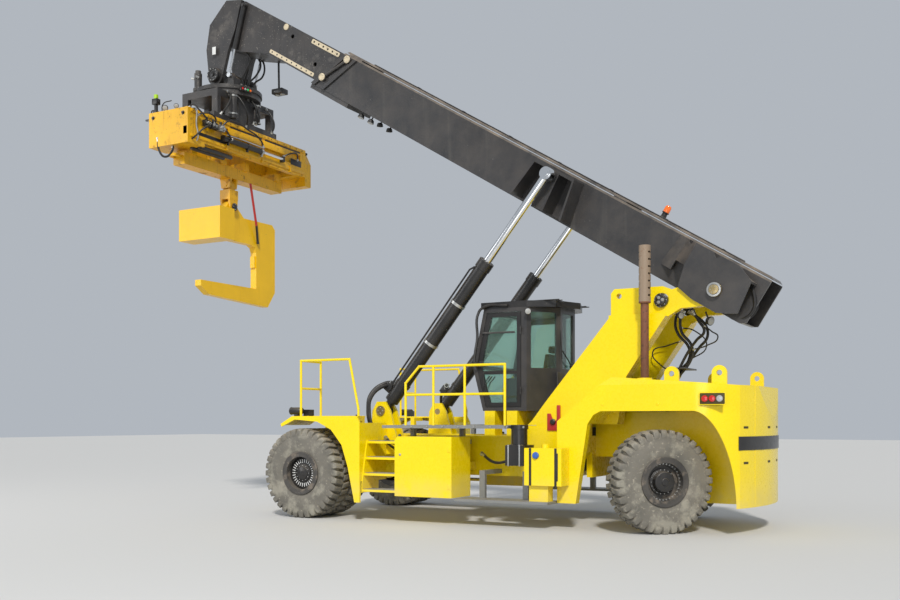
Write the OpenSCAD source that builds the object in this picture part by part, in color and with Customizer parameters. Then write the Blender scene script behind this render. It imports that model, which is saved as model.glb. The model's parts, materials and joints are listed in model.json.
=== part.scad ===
// Reach stacker with a coil hook under its spreader.
// +X is forward, +Y is the machine's left, +Z is up, and the ground is at z = 0.
// Inside the modules x is measured from the drive axle; place() shifts the whole machine.

/* [Wheels] */
// Distance between the drive axle and the steered axle
wheelbase = 6200; // [6000:10:6400]
// Diameter of every tyre over its lugs
tyre_od = 1620; // [1580:2:1640]
// Width of every tyre
tyre_w = 480; // [450:2:490]
// Gap between the twin tyres
twin_gap = 70; // [50:2:90]
// Half the width of the machine over its drive tyres
drive_half_w = 2050; // [2030:2:2080]
// Diameter of the rim flanges
rim_od = 780; // [740:2:800]
// Distance of each kingpin from the middle
kingpin_y = 1050; // [1040:2:1080]
// Steering angle at which the machine stands
steer_rest = 42; // [30:1:45]

/* [Frame] */
// Inner faces of the frame beams, from the middle
beam_in = 600; // [580:5:620]
// Width of each frame beam
beam_w = 300; // [260:5:310]
// Height of the frame's top over the ground
frame_top = 1500; // [1480:5:1520]
// Height of the walkways
deck_z = 1680; // [1660:5:1700]
// Height of the front fenders' decks
fender_z = 1840; // [1800:5:1880]
// Half the width over the front fenders
fender_half_w = 2070; // [2060:2:2090]
// Height of the handrails over their decks
rail_h = 1000; // [900:10:1050]
// Diameter of the handrail tube
rail_d = 44; // [36:1:48]
// Half the width of the rear body
body_half_w = 1600; // [1560:5:1640]
// Distance of the tail behind the steered axle
tail_len = 1710; // [1690:5:1760]

/* [Cab] */
// Half the width of the cab
cab_half_w = 860; // [840:2:870]
// Thickness of the cab's walls and door
cab_wall = 60; // [50:1:70]
// Height of the cab's floor plate
cab_z = 1930; // [1925:1:1940]
// Height of the top of the cab's walls
cab_top = 3720; // [3680:5:3730]
// Thickness of the cab's glass
glass_t = 8; // [6:1:12]

/* [Boom] */
// Height of the boom's pivot
pivot_z = 3810; // [3790:5:3840]
// Distance of the boom's pivot behind the drive axle
pivot_back = 7180; // [7150:5:7200]
// Boom angle over the horizontal as it stands
boom_rest = 31.6; // [31:0.1:32]
// Length of the outer boom ahead of its pivot
outer_len = 8890; // [8800:10:9000]
// Half the width of the outer boom
outer_half_w = 430; // [420:2:440]
// Underside of the outer boom below the pivot line
outer_low = 280; // [260:2:290]
// Top of the outer boom above the pivot line
outer_high = 590; // [580:2:620]
// Thickness of the outer boom's plates
boom_wall = 35; // [25:1:40]
// Gap between the outer and the inner boom that the wear pads fill
pad_gap = 45; // [40:1:50]
// Length of inner boom that stays inside the outer boom as it stands
inner_tail = 6700; // [6400:10:6900]
// Distance of the head pins from the pivot along the boom
head_along = 11800; // [11750:10:11850]
// Distance of the head pins below the pivot line
head_drop = 1120; // [1100:5:1140]

/* [Lift cylinders] */
// Distance of each lift cylinder from the middle
lift_y = 1040; // [1036:1:1050]
// Distance of the cylinders' lower pins behind the drive axle
base_back = 1180; // [1160:5:1200]
// Height of the cylinders' lower pins
base_z = 1940; // [1930:5:1960]
// Distance of the rods' upper pins from the boom's pivot
rod_pin_r = 3476; // [3440:2:3500]
// Angle of that line over the boom's own line
rod_pin_rise = 5.6; // [5:0.1:6]
// Diameter of the cylinder barrels
barrel_d = 260; // [240:2:264]
// Diameter of the chrome rods
rod_d = 150; // [140:2:160]
// Length of a barrel from its lower pin to its gland
barrel_len = 3330; // [3300:5:3350]

/* [Spreader] */
// Top of the slew ring below the head pins
ring_drop = 290; // [280:2:310]
// Radius of the slew ring
ring_r = 700; // [660:5:720]
// Half the depth of the spreader
spreader_half = 520; // [500:5:530]
// Left end of the spreader from the middle
spreader_left = 1800; // [1780:5:1830]
// Right end of the spreader from the middle
spreader_right = 2205; // [2180:5:2210]
// Top of the spreader below the head pins
spreader_drop = 1090; // [1080:2:1110]
// Height of the spreader
spreader_h = 700; // [680:5:720]

/* [Hook] */
// Hook pin below the head pins
hook_drop = 2710; // [2700:5:2740]
// Thickness of the hook's plate
hook_t = 160; // [140:5:180]
// Half the width of the balance weight across the hook
weight_half = 560; // [520:5:570]
// Opening of the hook between its arm and its prong
hook_open = 950; // [900:10:1000]
// Reach of the prong from the hook's back
prong_len = 1750; // [1650:10:1850]

/* [Fits] */
// Radial clearance of every running fit
run_fit = 0.05; // [0.03:0.01:0.1]
// Gap between pieces that rest close to each other
seat_gap = 0.3; // [0.2:0.1:0.5]
// Gap between pieces that move past each other
move_gap = 8; // [6:1:12]

/* [Hidden] */
$fn = 48;

yellow = "#f5d800";
old_yellow = "#d9a410";
dark = "#33363b";
black = "#1c1d1f";
grey = "#9a9b98";
rubber = "#6a6863";

tyre_r = tyre_od / 2;
beam_out = beam_in + beam_w;
steer_x = -wheelbase;
tail_x = steer_x - tail_len;
pivot_x = -pivot_back;
base_x = -base_back;
rest_cos = cos(boom_rest);
rest_sin = sin(boom_rest);
head_x = pivot_x + head_along * rest_cos + head_drop * rest_sin;
head_z = pivot_z + head_along * rest_sin - head_drop * rest_cos;
rod_pin_a = boom_rest + rod_pin_rise;
rod_x = pivot_x + rod_pin_r * cos(rod_pin_a);
rod_z = pivot_z + rod_pin_r * sin(rod_pin_a);
lift_len = norm([rod_x - base_x, rod_z - base_z]);
lift_a = atan2(rod_z - base_z, rod_x - base_x);

outer_rear = -600;
outer_in_high = outer_high - boom_wall;
// The slew ring is the foremost point and the boom's upper rear corner the rearmost
front_x = head_x + ring_r;
rear_x = pivot_x + outer_rear * rest_cos - outer_in_high * rest_sin;
mid_x = (front_x + rear_x) / 2;

// Shifts the machine so that its footprint's middle is the origin
module place() translate([-mid_x, 0, 0]) children();
// Draws its children on both sides
module pair() { children(); mirror([0, 1, 0]) children(); }
// Draws its children on the left for side 1 and on the right for side -1
module side(s) { if (s > 0) children(); else mirror([0, 1, 0]) children(); }
// Extrudes an outline given in x and z from y0 to y1
module slab(y0, y1) translate([0, y1, 0]) rotate([90, 0, 0]) linear_extrude(y1 - y0) children();
// A box from its lowest to its highest corner
module block(lo, hi) translate(lo) cube(hi - lo);
// A round bar along Y
module bar_y(x, z, r, y0, y1) translate([x, y1, z]) rotate([90, 0, 0]) cylinder(r = r, h = y1 - y0);
// A round bar along X
module bar_x(y, z, r, x0, x1) translate([x0, y, z]) rotate([0, 90, 0]) cylinder(r = r, h = x1 - x0);
// Extrudes an outline given in y and z from x0 to x1
module wall(x0, x1) translate([x0, 0, 0]) rotate([90, 0, 90]) linear_extrude(x1 - x0) children();
// A round tube between two points
module rod_between(a, b, r) {
    d = b - a;
    translate(a) rotate([0, acos(d[2] / norm(d)), atan2(d[1], d[0])]) cylinder(r = r, h = norm(d), $fn = 16);
}
// A handrail: tubes between the points, with a ball at each inner corner
module rail(points) {
    for (i = [0 : len(points) - 2]) rod_between(points[i], points[i + 1], rail_d / 2);
    for (i = [1 : len(points) - 2]) translate(points[i]) sphere(r = rail_d / 2 + 2, $fn = 24);
}

// Chassis

beam_low = 800;
beam_low_front = 1180;
beam_end = steer_x + 1150;
core_half = 430;
core_end = steer_x - 750;
well_top = 1910;
cross_t = 100;
trunnion_r = 100;
trunnion_z = 810;
bracket_r = 190;
lift_pin_r = 60;
lift_eye_half = 80;
bracket_t = 50;
cab_front = -3110;
cab_back = -3950;
cab_tail = -4360;

// Cross beams under the engine
engine_beams = [beam_end + 350, beam_end + 1250];

module beam_outline() polygon([
    [500, beam_low_front], [500, frame_top], [beam_end, frame_top], [beam_end, 1250],
    [beam_end + 350, beam_low], [-950, beam_low], [-620, beam_low_front]
]);

bracket_in = lift_y - lift_eye_half - 5;
bracket_out = lift_y + lift_eye_half + 5;
cab_beams = [cab_front - 250, cab_front - 680];

module bracket_outline() difference() {
    polygon([
        [base_x + 230, frame_top - 350], [base_x + bracket_r, base_z], [base_x + 90, base_z + 167],
        [base_x - 90, base_z + 167], [base_x - bracket_r, base_z], [base_x - 420, frame_top - 350]
    ]);
    translate([base_x, base_z]) circle(r = lift_pin_r);
}

module main_frame() color(yellow) place() {
    pair() {
        slab(beam_in, beam_out) beam_outline();
        // Brackets that hold the lower ends of the lift cylinders
        slab(beam_out, bracket_in) bracket_outline();
        slab(bracket_out, bracket_out + bracket_t) bracket_outline();
        block([base_x - 420, beam_out, frame_top - 350],
            [base_x + 230, bracket_out + bracket_t, frame_top - 250]);
        // Feet of the cab's cross beams
        for (x = cab_beams)
            block([x, beam_in, frame_top], [x + 200, beam_out, cab_z]);
    }
    // Cross members between the beams
    block([-450, -beam_in, beam_low_front + 20], [250, beam_in, frame_top]);
    block([-2900, -beam_in, beam_low + 50], [-2650, beam_in, frame_top - 200]);
    for (x = engine_beams)
        block([x, -beam_in, beam_low], [x + 200, beam_in, beam_low + cross_t]);
    block([beam_end, -beam_in, beam_low], [beam_end + cross_t, beam_in, frame_top]);
    for (x = cab_beams)
        block([x, -beam_in, deck_z], [x + 200, beam_in, cab_z]);
    // Middle box over the steered axle, with the cradle for the axle's trunnions
    block([core_end, -core_half, 1150], [beam_end, core_half, well_top]);
    for (x = [steer_x - 420, steer_x + 320]) difference() {
        block([x, -260, trunnion_z - 180], [x + 100, 260, 1150]);
        bar_x(0, trunnion_z, trunnion_r + run_fit, x - 1, x + 101);
    }
}

tower_y0 = beam_in;
tower_y1 = beam_out;
pin_r = 75;
tower_top = 3930;
tower_foot = 1700;

module tower_outline() difference() {
    union() {
        polygon([
            [-3800, frame_top], [-3900, 1600], [-4080, 1770], [-4275, 2020], [-5450, 3440],
            [-5450, 3860], [-5510, tower_top], [-6330, tower_top], [-6480, 3870],
            [pivot_x + 60, pivot_z + 230], [pivot_x + 60, pivot_z - 230],
            [-6620, 3560], [-6400, 3430], [-5750, 2480], [-5600, tower_foot],
            [beam_end, tower_foot], [beam_end, frame_top]
        ]);
        translate([pivot_x, pivot_z]) circle(r = 240);
    }
    translate([pivot_x, pivot_z]) circle(r = pin_r);
    translate([-5590, 3810]) circle(r = 45);
    translate([-6310, 3700]) circle(r = 120);
}

ear_in = tower_y0 + 50;
ear_out = tower_y1 - 110;

module tower_step() polygon([
    [-5400, 3490], [-5400, 4200], [-7800, 4200], [-7800, 3300], [-6510, 3300], [-6380, 3490]
]);

// The lower part of a tower is as wide as its beam; its ear is a thinner plate
module tower(s) color(yellow) place() side(s) difference() {
    slab(tower_y0, tower_y1) tower_outline();
    slab(ear_out, tower_y1 + 1) tower_step();
    slab(tower_y0 - 1, ear_in) tower_step();
}

leg_front = steer_x + 1370;
arch_flat = steer_x - 830;
arch_low_x = steer_x - 1430;
body_low = 430;
round_r = 750;
body_top_front = 2450;
body_top_rear = 2300;

// Wheel arch seen from the side
module arch_outline() union() {
    polygon([
        [leg_front - 320, body_low - 1], [leg_front - 520, 1700], [leg_front - 620, 1850],
        [leg_front - 740, well_top], [arch_flat, well_top], [arch_flat, body_low - 1]
    ]);
    intersection() {
        translate([arch_flat, body_low]) scale([arch_flat - arch_low_x, well_top - body_low])
            circle(r = 1, $fn = 64);
        translate([arch_low_x - 10, body_low - 1]) square([arch_flat - arch_low_x + 11, 2000]);
    }
}

module body_plan() intersection() {
    union() {
        translate([tail_x + round_r + 110, -body_half_w])
            square([leg_front - tail_x - round_r - 110, 2 * body_half_w]);
        for (s = [-1, 1])
            translate([tail_x + round_r + 110, s * (body_half_w - round_r)]) circle(r = round_r, $fn = 64);
        translate([tail_x - 10, -(body_half_w - round_r)])
            square([1000, 2 * (body_half_w - round_r)]);
    }
    translate([tail_x + 3500, 0]) circle(r = 3500, $fn = 96);
}

eye_r = 45;
eye_t = 50;
eye_y = body_half_w - 330;
eye_places = [steer_x - 430, steer_x - 1170];

stack_x = steer_x + 70;
stack_y = 1100;
stack_foot = body_top_front - 10;
lamp_y = body_half_w - 220;

module rear_body() color(yellow) place() {
    difference() {
        intersection() {
            translate([0, 0, body_low]) linear_extrude(2100) body_plan();
            slab(-body_half_w - 1, body_half_w + 1) polygon([
                [leg_front, body_low], [leg_front, 1750], [leg_front - 870, body_top_front],
                [tail_x + 260, body_top_rear], [tail_x + 80, body_top_rear], [tail_x - 10, 1770],
                [tail_x - 10, body_low]
            ]);
        }
        // Wheel arches
        for (s = [-1, 1]) side(s) slab(core_half + 20, body_half_w + 10) arch_outline();
        // Space between the side pods for the frame, the towers and the hood
        block([steer_x - 250, -beam_out, -1], [leg_front + 10, beam_out, 3000]);
        // Middle box's place under the deck
        block([core_end, -beam_out, -1], [steer_x - 200, beam_out, well_top]);
        // Inner side of each front leg
        for (s = [-1, 1]) side(s)
            block([leg_front - 800, 890, -1], [leg_front + 1, body_half_w - 150, well_top - 200]);
        // Slanted edge along the top of each side
        for (s = [-1, 1]) side(s)
            translate([0, body_half_w, body_top_front - 130]) rotate([45, 0, 0])
                translate([steer_x - 800, 0, 0]) cube([2500, 300, 300]);
        // Recess for the rear lamps in each side
        for (s = [-1, 1]) side(s)
            block([steer_x - 1230, lamp_y, 1990], [steer_x - 950, body_half_w + 1, 2130]);
    }
    // Pad that carries the exhaust stack
    translate([stack_x, stack_y, body_top_rear]) cylinder(r = 120, h = stack_foot - body_top_rear);
    // Lifting eyes
    pair() for (x = eye_places) slab(eye_y, eye_y + eye_t) difference() {
        union() {
            translate([x, body_top_rear + 190]) circle(r = 115);
            translate([x - 115, body_top_rear - 50]) square([230, 240]);
        }
        translate([x, body_top_rear + 190]) circle(r = eye_r);
    }
}

engine_half = 420;
hood_back = steer_x - 220;
hood_front = leg_front + 190;
hood_top = 2350;
hood_t = 40;
slot_w = 80;
slot_step = 180;

module engine_block() color(grey) place()
    block([engine_beams[0] - 150, -engine_half, beam_low + cross_t],
        [engine_beams[1] + 350, engine_half, deck_z - 40]);

module engine_hood() color(dark) place() difference() {
    block([hood_back, -beam_in + 3, well_top], [hood_front, beam_in - 3, hood_top]);
    block([hood_back + hood_t, -beam_in + 3 + hood_t, well_top - 1],
        [hood_front - hood_t, beam_in - 3 - hood_t, hood_top - hood_t]);
    for (i = [0 : 7]) translate([hood_back + 220 + i * slot_step, 0, 0])
        block([0, -380, hood_top - hood_t - 1], [slot_w, 380, hood_top + 1]);
}

axle_tube_r = 170;
spindle_r = 120;
drive_hub_y0 = 1080;
spindle_end = 1880;

module drive_axle() color(yellow) place() {
    bar_y(0, tyre_r, axle_tube_r, -980, 980);
    bar_y(0, tyre_r, 330, -150, 150);
    translate([0, 0, tyre_r]) rotate([0, -90, 0]) cylinder(r1 = 300, r2 = 120, h = 560);
    pair() {
        bar_y(0, tyre_r, 230, 920, 980);
        bar_y(0, tyre_r, spindle_r, 970, spindle_end);
        block([-180, beam_in + 30, tyre_r], [180, beam_out - 30, beam_low_front]);
    }
}

steer_boss_half = 160;
steer_boss_r = 110;
kingpin_r = 45;

module steer_axle() color(yellow) place() difference() {
    union() {
        hull() {
            block([steer_x - 190, -300, tyre_r - 170], [steer_x + 190, 300, tyre_r + 170]);
            block([steer_x - 110, -kingpin_y + 60, tyre_r - 120], [steer_x + 110, kingpin_y - 60, tyre_r + 120]);
        }
        pair() translate([steer_x, kingpin_y, tyre_r - steer_boss_half])
            cylinder(r = steer_boss_r, h = 2 * steer_boss_half);
        bar_x(0, trunnion_z, trunnion_r, steer_x - 430, steer_x + 430);
    }
    pair() translate([steer_x, kingpin_y, 0]) cylinder(r = kingpin_r + run_fit, h = 2000);
}

fender_lip = 420;
fender_back = -1310;
fender_t = 40;

module fender_outline() polygon([
    [fender_lip, fender_z - 140], [fender_lip - 260, fender_z], [fender_back + 60, fender_z],
    [fender_back, fender_z - 120], [fender_back, 330], [fender_back + 110, 330],
    [-1060, 950], [-930, 1330], [-700, 1600], [-400, 1740], [100, fender_z - 60],
    [fender_lip - 20, fender_z - 190]
]);

module front_fenders() color(yellow) place() pair() {
    // Outer skirt
    slab(fender_half_w - fender_t, fender_half_w) fender_outline();
    // Deck
    slab(beam_out + 300, fender_half_w - fender_t) polygon([
        [fender_lip, fender_z - 140], [fender_lip - 260, fender_z], [-850, fender_z],
        [-850, fender_z - 25], [fender_lip - 260, fender_z - 25], [fender_lip - 8, fender_z - 165]
    ]);
    // Back wall behind the tyres
    block([fender_back, beam_out + 300, 700], [fender_back + 25, fender_half_w - fender_t, fender_z - 120]);
    // Arms to the frame beam
    for (x = [120, -640]) block([x, beam_out, 1400], [x + 90, beam_out + 80, fender_z - 25]);
    for (x = [120, -640])
        block([x, beam_out, fender_z - 90], [x + 90, beam_out + 330, fender_z - 25]);
    block([fender_back, beam_out, 980], [fender_back + 25, beam_out + 300, 1080]);
}

box_front = -2020;
box_back = -3130;
box_low = 470;
box_top = 1490;

module side_boxes() color(yellow) place() pair() {
    slab(beam_out + 480, drive_half_w) polygon([
        [box_front, box_low], [box_front, box_top - 60], [box_front - 60, box_top],
        [box_back, box_top], [box_back, box_low]
    ]);
    for (x = [box_front - 300, box_back + 150])
        block([x, beam_out, 900], [x + 120, beam_out + 480, 1040]);
}

walk_front = -1700;
walk_back = leg_front + 770;
board_z = 460;

module walkways() color(grey) place() pair() {
    slab(beam_out + 190, 1950) polygon([
        [walk_front, deck_z - 50], [walk_front, deck_z], [walk_back, deck_z], [walk_back, deck_z - 50]
    ]);
    for (x = [walk_front - 200, (walk_front + walk_back) / 2 - 20, walk_back + 160]) {
        block([x, beam_out, frame_top - 150], [x + 80, beam_out + 300, frame_top - 70]);
        block([x, beam_out + 220, frame_top - 70], [x + 80, beam_out + 300, deck_z - 50]);
    }
    // Lower running board
    block([leg_front + 10, 1480, board_z - 40], [box_back, 1960, board_z]);
    for (x = [box_back - 370, leg_front + 530]) {
        block([x, beam_out, 850], [x + 100, 1560, 920]);
        block([x, 1490, board_z], [x + 100, 1560, 850]);
    }
}

step_t = 15;

module boarding_steps() color(grey) place() pair() {
    // Each row: height of the tread, its inner edge
    for (step = [[1400, 1500], [1120, 1560], [840, 1620], [560, 1680]])
        block([box_front + step_t, step[1], step[0] - 40], [fender_back - step_t, step[1] + 330, step[0]]);
    for (x = [box_front, fender_back - step_t]) wall(x, x + step_t)
        polygon([[1480, 500], [2010, 500], [2010, 640], [1840, 1420], [1480, 1420]]);
}

module handrails() color(yellow) place() pair() {
    front_y = fender_half_w - 60;
    low = fender_z;
    top = fender_z + rail_h;
    rail([[0, front_y, low], [0, front_y, top], [-1060, front_y, top],
        [-1250, front_y, low + 120], [-1250, front_y, low]]);
    rail([[0, front_y - 10, top], [0, front_y - 600, top], [0, front_y - 600, low]]);
    rail([[0, front_y - 10, top - 500], [0, front_y - 590, top - 500]]);
    side_y = 1900;
    rail_back = walk_back + 20;
    rail([[-2150, side_y, deck_z], [-2150, side_y, deck_z + 720], [-2420, side_y, deck_z + rail_h],
        [rail_back, side_y, deck_z + rail_h], [rail_back, side_y, deck_z]]);
    rail([[-2150, side_y, deck_z + 520], [rail_back, side_y, deck_z + 520]]);
    for (x = [-2700, -3300]) rail([[x, side_y, deck_z], [x, side_y, deck_z + rail_h]]);
}

cleaner_x = leg_front + 620;
cleaner_y = 1700;

module air_cleaner() color(black) place() {
    block([cleaner_x - 165, cleaner_y - 200, 1030], [cleaner_x + 165, cleaner_y + 200, 1360]);
    translate([cleaner_x, cleaner_y, 1360]) cylinder(r = 130, h = 260);
    translate([cleaner_x, cleaner_y, 1620]) cylinder(r = 145, h = 70);
    block([cleaner_x - 60, beam_out, 1080], [cleaner_x + 60, cleaner_y - 200, 1180]);
}

tank_low = 720;
tank_top = 1320;

module side_tank() color(yellow) place() {
    block([leg_front - 210, body_half_w + 10, tank_low], [cleaner_x - 185, 1920, tank_top]);
    translate([leg_front + 130, 1770, tank_top]) cylinder(r = 60, h = 60);
    block([leg_front + 50, body_half_w + 50, board_z], [leg_front + 380, 1850, tank_low]);
}

module exhaust_stack() color("#7a4a30") place() {
    translate([stack_x, stack_y, stack_foot]) cylinder(r = 65, h = 3655 - stack_foot);
    translate([stack_x, stack_y, 3635]) cylinder(r = 95, h = 20);
    difference() {
        translate([stack_x, stack_y, 3655]) cylinder(r = 95, h = 900);
        translate([stack_x, stack_y, 3655]) cylinder(r = 70, h = 902);
        for (i = [0 : 6]) block([stack_x - 120, stack_y - 60, 3740 + i * 115],
            [stack_x + 120, stack_y + 60, 3770 + i * 115]);
    }
}

flare_in = ear_out + 12;
flare_t = 40;
cap_t = 30;

// Pins of the boom and of the lift cylinders, with their caps
module frame_pins() color("#b08a3a") place() pair() {
    bar_y(pivot_x, pivot_z, pin_r, ear_in, flare_in + flare_t + 10 + cap_t);
    bar_y(pivot_x, pivot_z, pin_r + 40, flare_in + flare_t + 10, flare_in + flare_t + 10 + cap_t);
    bar_y(base_x, base_z, lift_pin_r, beam_out, bracket_out + bracket_t + cap_t);
    bar_y(base_x, base_z, lift_pin_r + 30, bracket_out + bracket_t, bracket_out + bracket_t + cap_t);
}

module chassis_lamps() color(black) place() pair() {
    block([-60, fender_half_w - 370, fender_z], [60, fender_half_w - 210, fender_z + 120]);
    block([steer_x - 1220, lamp_y, 2000], [steer_x - 960, lamp_y + 100, 2120]);
}

// Cab

// Side outline of the cab, drawn in by t all round
module cab_side(t) polygon([
    [cab_front - t, cab_z + t], [cab_front + 200 - 1.05 * t, cab_z + 770],
    [cab_front - 20 - t, cab_top - t], [cab_tail - 40 + t, cab_top - t],
    [cab_tail - 40 + t, cab_z + t]
]);
module cab_plan(t) polygon([
    [-2500, cab_half_w - t], [cab_back + 0.45 * t, cab_half_w - t],
    [cab_tail + t, 330 - 0.45 * t], [cab_tail + t, -330 + 0.45 * t],
    [cab_back + 0.45 * t, -cab_half_w + t], [-2500, -cab_half_w + t]
]);
module cab_volume(t) intersection() {
    slab(-cab_half_w, cab_half_w) cab_side(t);
    translate([0, 0, cab_z - 10]) linear_extrude(cab_top - cab_z + 20) cab_plan(t);
}

door_low = cab_z + 70;
door_high = 3640;
door_back = cab_back + 110;

// Outline of the door, drawn in by t all round
module door_outline(t) polygon([
    [cab_front - 60 - t, door_low + t], [cab_front + 115 - 1.05 * t, cab_z + 770],
    [cab_front - 85 - t, door_high - t], [door_back + t, door_high - t], [door_back + t, door_low + t]
]);
// Outlines of the two panes in the door or in the wall opposite
module side_panes() difference() {
    door_outline(75);
    translate([-4200, 2570]) square([1500, 60]);
}
module window_cuts() {
    // Front panes above and below the bend
    slab(-cab_half_w + 110, cab_half_w - 110) polygon([
        [-2700, cab_z + 150], [-3300, cab_z + 150], [-3200, cab_z + 740], [-2700, cab_z + 740]]);
    slab(-cab_half_w + 110, cab_half_w - 110) polygon([
        [-2700, cab_z + 810], [-3170, cab_z + 810], [-3300, door_high], [-2700, door_high]]);
    // Pane in the right wall
    slab(-cab_half_w - 1, -cab_half_w + cab_wall + 1) side_panes();
    // Rear panes
    block([cab_tail - 50, -250, 2670], [cab_tail + 100, 250, door_high]);
    for (s = [-1, 1]) side(s) translate([(cab_back + cab_tail) / 2, (cab_half_w + 330) / 2, 0])
        rotate([0, 0, atan2(cab_half_w - 330, cab_back - cab_tail)])
            block([-250, -90, 2670], [250, 90, door_high]);
}

hinge_x = door_back - move_gap / 2;
hinge_y = cab_half_w + 20;
hinge_r = 15;
hinge_pin_r = 8;
hinge_h = 60;
hinge_places = [door_low + 250, door_high - 350];

// One leaf of a door hinge: s = 1 toward the door, s = -1 toward the wall
module hinge_leaf(s, z, h) {
    translate([hinge_x, hinge_y, z]) cylinder(r = hinge_r, h = h);
    block([s > 0 ? hinge_x : hinge_x - 50, cab_half_w - 2, z],
        [s > 0 ? hinge_x + 50 : hinge_x, hinge_y - 10, z + h]);
}

module cab_shell() color(dark) place() {
    difference() {
        cab_volume(0);
        cab_volume(cab_wall);
        slab(cab_half_w - cab_wall - 1, cab_half_w + 1) door_outline(-move_gap);
        window_cuts();
    }
    for (z = hinge_places) {
        hinge_leaf(-1, z - hinge_h / 2, hinge_h / 2 - seat_gap);
        hinge_leaf(-1, z + hinge_h + seat_gap, hinge_h / 2);
        translate([hinge_x, hinge_y, z - 10]) cylinder(r = hinge_pin_r, h = hinge_h + 20);
    }
}

module cab_roof() color(black) place() {
    translate([0, 0, cab_top]) linear_extrude(110) polygon([
        [cab_front + 40, cab_half_w], [cab_back, cab_half_w], [-4390, 610], [-4600, 0],
        [-4390, -610], [cab_back, -cab_half_w], [cab_front + 40, -cab_half_w]
    ]);
}

glass_in = (cab_wall - glass_t) / 2;

module cab_glass() color("#7fa89a", 0.6) place() intersection() {
    difference() {
        cab_volume(glass_in);
        cab_volume(glass_in + glass_t);
    }
    window_cuts();
}

module cab_door() color(dark) place() difference() {
    union() {
        slab(cab_half_w - cab_wall, cab_half_w) door_outline(0);
        for (z = hinge_places) hinge_leaf(1, z, hinge_h);
    }
    slab(cab_half_w - cab_wall - 1, cab_half_w + 1) side_panes();
    for (z = hinge_places)
        translate([hinge_x, hinge_y, z - 1]) cylinder(r = hinge_pin_r + run_fit, h = hinge_h + 2);
}

module door_glass() color("#7fa89a", 0.6) place()
    slab(cab_half_w - glass_in - glass_t, cab_half_w - glass_in) side_panes();

floor_z = cab_z + cab_wall;
seat_x = cab_back + 370;
seat_z = floor_z + 450;

module cab_seat() color(black) place() {
    block([seat_x - 370, -180, floor_z], [seat_x - 30, 180, seat_z - 120]);
    block([seat_x - 450, -250, seat_z - 120], [seat_x + 50, 250, seat_z]);
    hull() {
        block([seat_x - 450, -240, seat_z], [seat_x - 350, 240, seat_z + 50]);
        block([seat_x - 550, -200, seat_z + 680], [seat_x - 470, 200, seat_z + 710]);
    }
}

wheel_tilt = 20;

module cab_console() color(black) place() {
    block([-3400, -120, floor_z], [-3210, 120, floor_z + 60]);
    translate([-3300, 0, floor_z + 40]) rotate([0, -wheel_tilt, 0]) {
        cylinder(r = 40, h = 620);
        translate([0, 0, 600]) difference() {
            cylinder(r = 200, h = 30);
            translate([0, 0, -1]) difference() {
                cylinder(r = 175, h = 32);
                cylinder(r = 60, h = 32);
                translate([-180, -20, 0]) cube([360, 40, 32]);
            }
        }
    }
    for (s = [-1, 1]) side(s) block([-3900, 300, floor_z], [-3350, 480, floor_z + 520]);
}

// Wheels

rim_r = rim_od / 2;
bead_r = 317;
barrel_in = 297;
flange_t = 25;
twin_in = drive_half_w - 2 * tyre_w - twin_gap;

lug_count = 20;
lug_depth = 46;
// Shares of a lug's pitch that its foot and its tip take
lug_foot = 0.62;
lug_tip = 0.5;
shoulder = 26;
side_r = tyre_r * 0.885;
tread_r = tyre_r - lug_depth;
// Flat sides of a tyre's carcass and of the hole for its rim
carcass_sides = 20;
bead_sides = 12;
// Distance to a flat of the hole, as a share of that to a corner
flat_share = cos(180 / bead_sides);

function polar(r, a) = [r * cos(a), r * sin(a)];

// Outline of one row of lugs, its first lug turned by the angle first
module lug_row(first) {
    pitch = 360 / lug_count;
    // Columns: radius, share of the pitch
    tip_r = tyre_r / cos(pitch * lug_tip / 2);
    corners = [[tread_r, -lug_foot / 2], [tip_r, -lug_tip / 2], [tip_r, lug_tip / 2], [tread_r, lug_foot / 2]];
    polygon([for (i = [0 : lug_count - 1], c = corners) polar(c[0], first + (i + c[1]) * pitch)]);
}

// Flat-sided outline round the axle
module ring_outline(r, sides) polygon([for (i = [0 : sides - 1]) polar(r, (i + 0.5) * 360 / sides)]);

// A tyre whose axis is Z and whose middle is at 0, with its beads between the rim's flanges
module lugged_tyre() difference() {
    union() {
        translate([0, 0, -tyre_w / 2]) linear_extrude(tyre_w) ring_outline(side_r, carcass_sides);
        for (s = [-1, 1]) translate([0, 0, s > 0 ? 0 : -tyre_w / 2 + shoulder])
            linear_extrude(tyre_w / 2 - shoulder) lug_row(s > 0 ? 0 : 180 / lug_count);
    }
    translate([0, 0, -tyre_w]) linear_extrude(2 * tyre_w)
        ring_outline((bead_r + seat_gap) / flat_share, bead_sides);
    for (z = [-tyre_w, tyre_w / 2 - flange_t - 3]) translate([0, 0, z])
        linear_extrude(tyre_w / 2 + flange_t + 3) ring_outline((rim_r + 3) / flat_share, bead_sides);
}

// Turns a wheel's pieces so that their axis lies along Y
module across(x, y, z) translate([x, y, z]) rotate([-90, 0, 0]) children();
// Turns a section about the wheel's axis, which lies along Y
module about_y(x, y, z) across(x, y, z) rotate_extrude($fn = 96) children();

module drive_tyres(s) color(rubber) place() side(s)
    for (y = [drive_half_w - tyre_w / 2, twin_in + tyre_w / 2]) across(0, y, tyre_r) lugged_tyre();

module flange_pair(w) for (y = [-w, w - flange_t])
    translate([bead_r - 5, y]) square([rim_r - bead_r + 5, flange_t]);

drive_hub_r = 190;
drive_disc_y = drive_half_w - 330;

rim_slots = 30;
rim_slot_r = 238;

module drive_rim(s) color(dark) place() side(s) difference() {
    drive_rim_body();
    across(0, drive_disc_y, tyre_r) for (i = [0 : rim_slots - 1]) rotate([0, 0, i * 360 / rim_slots])
        translate([rim_slot_r - 35, -9, -1]) cube([70, 18, 42]);
}

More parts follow.
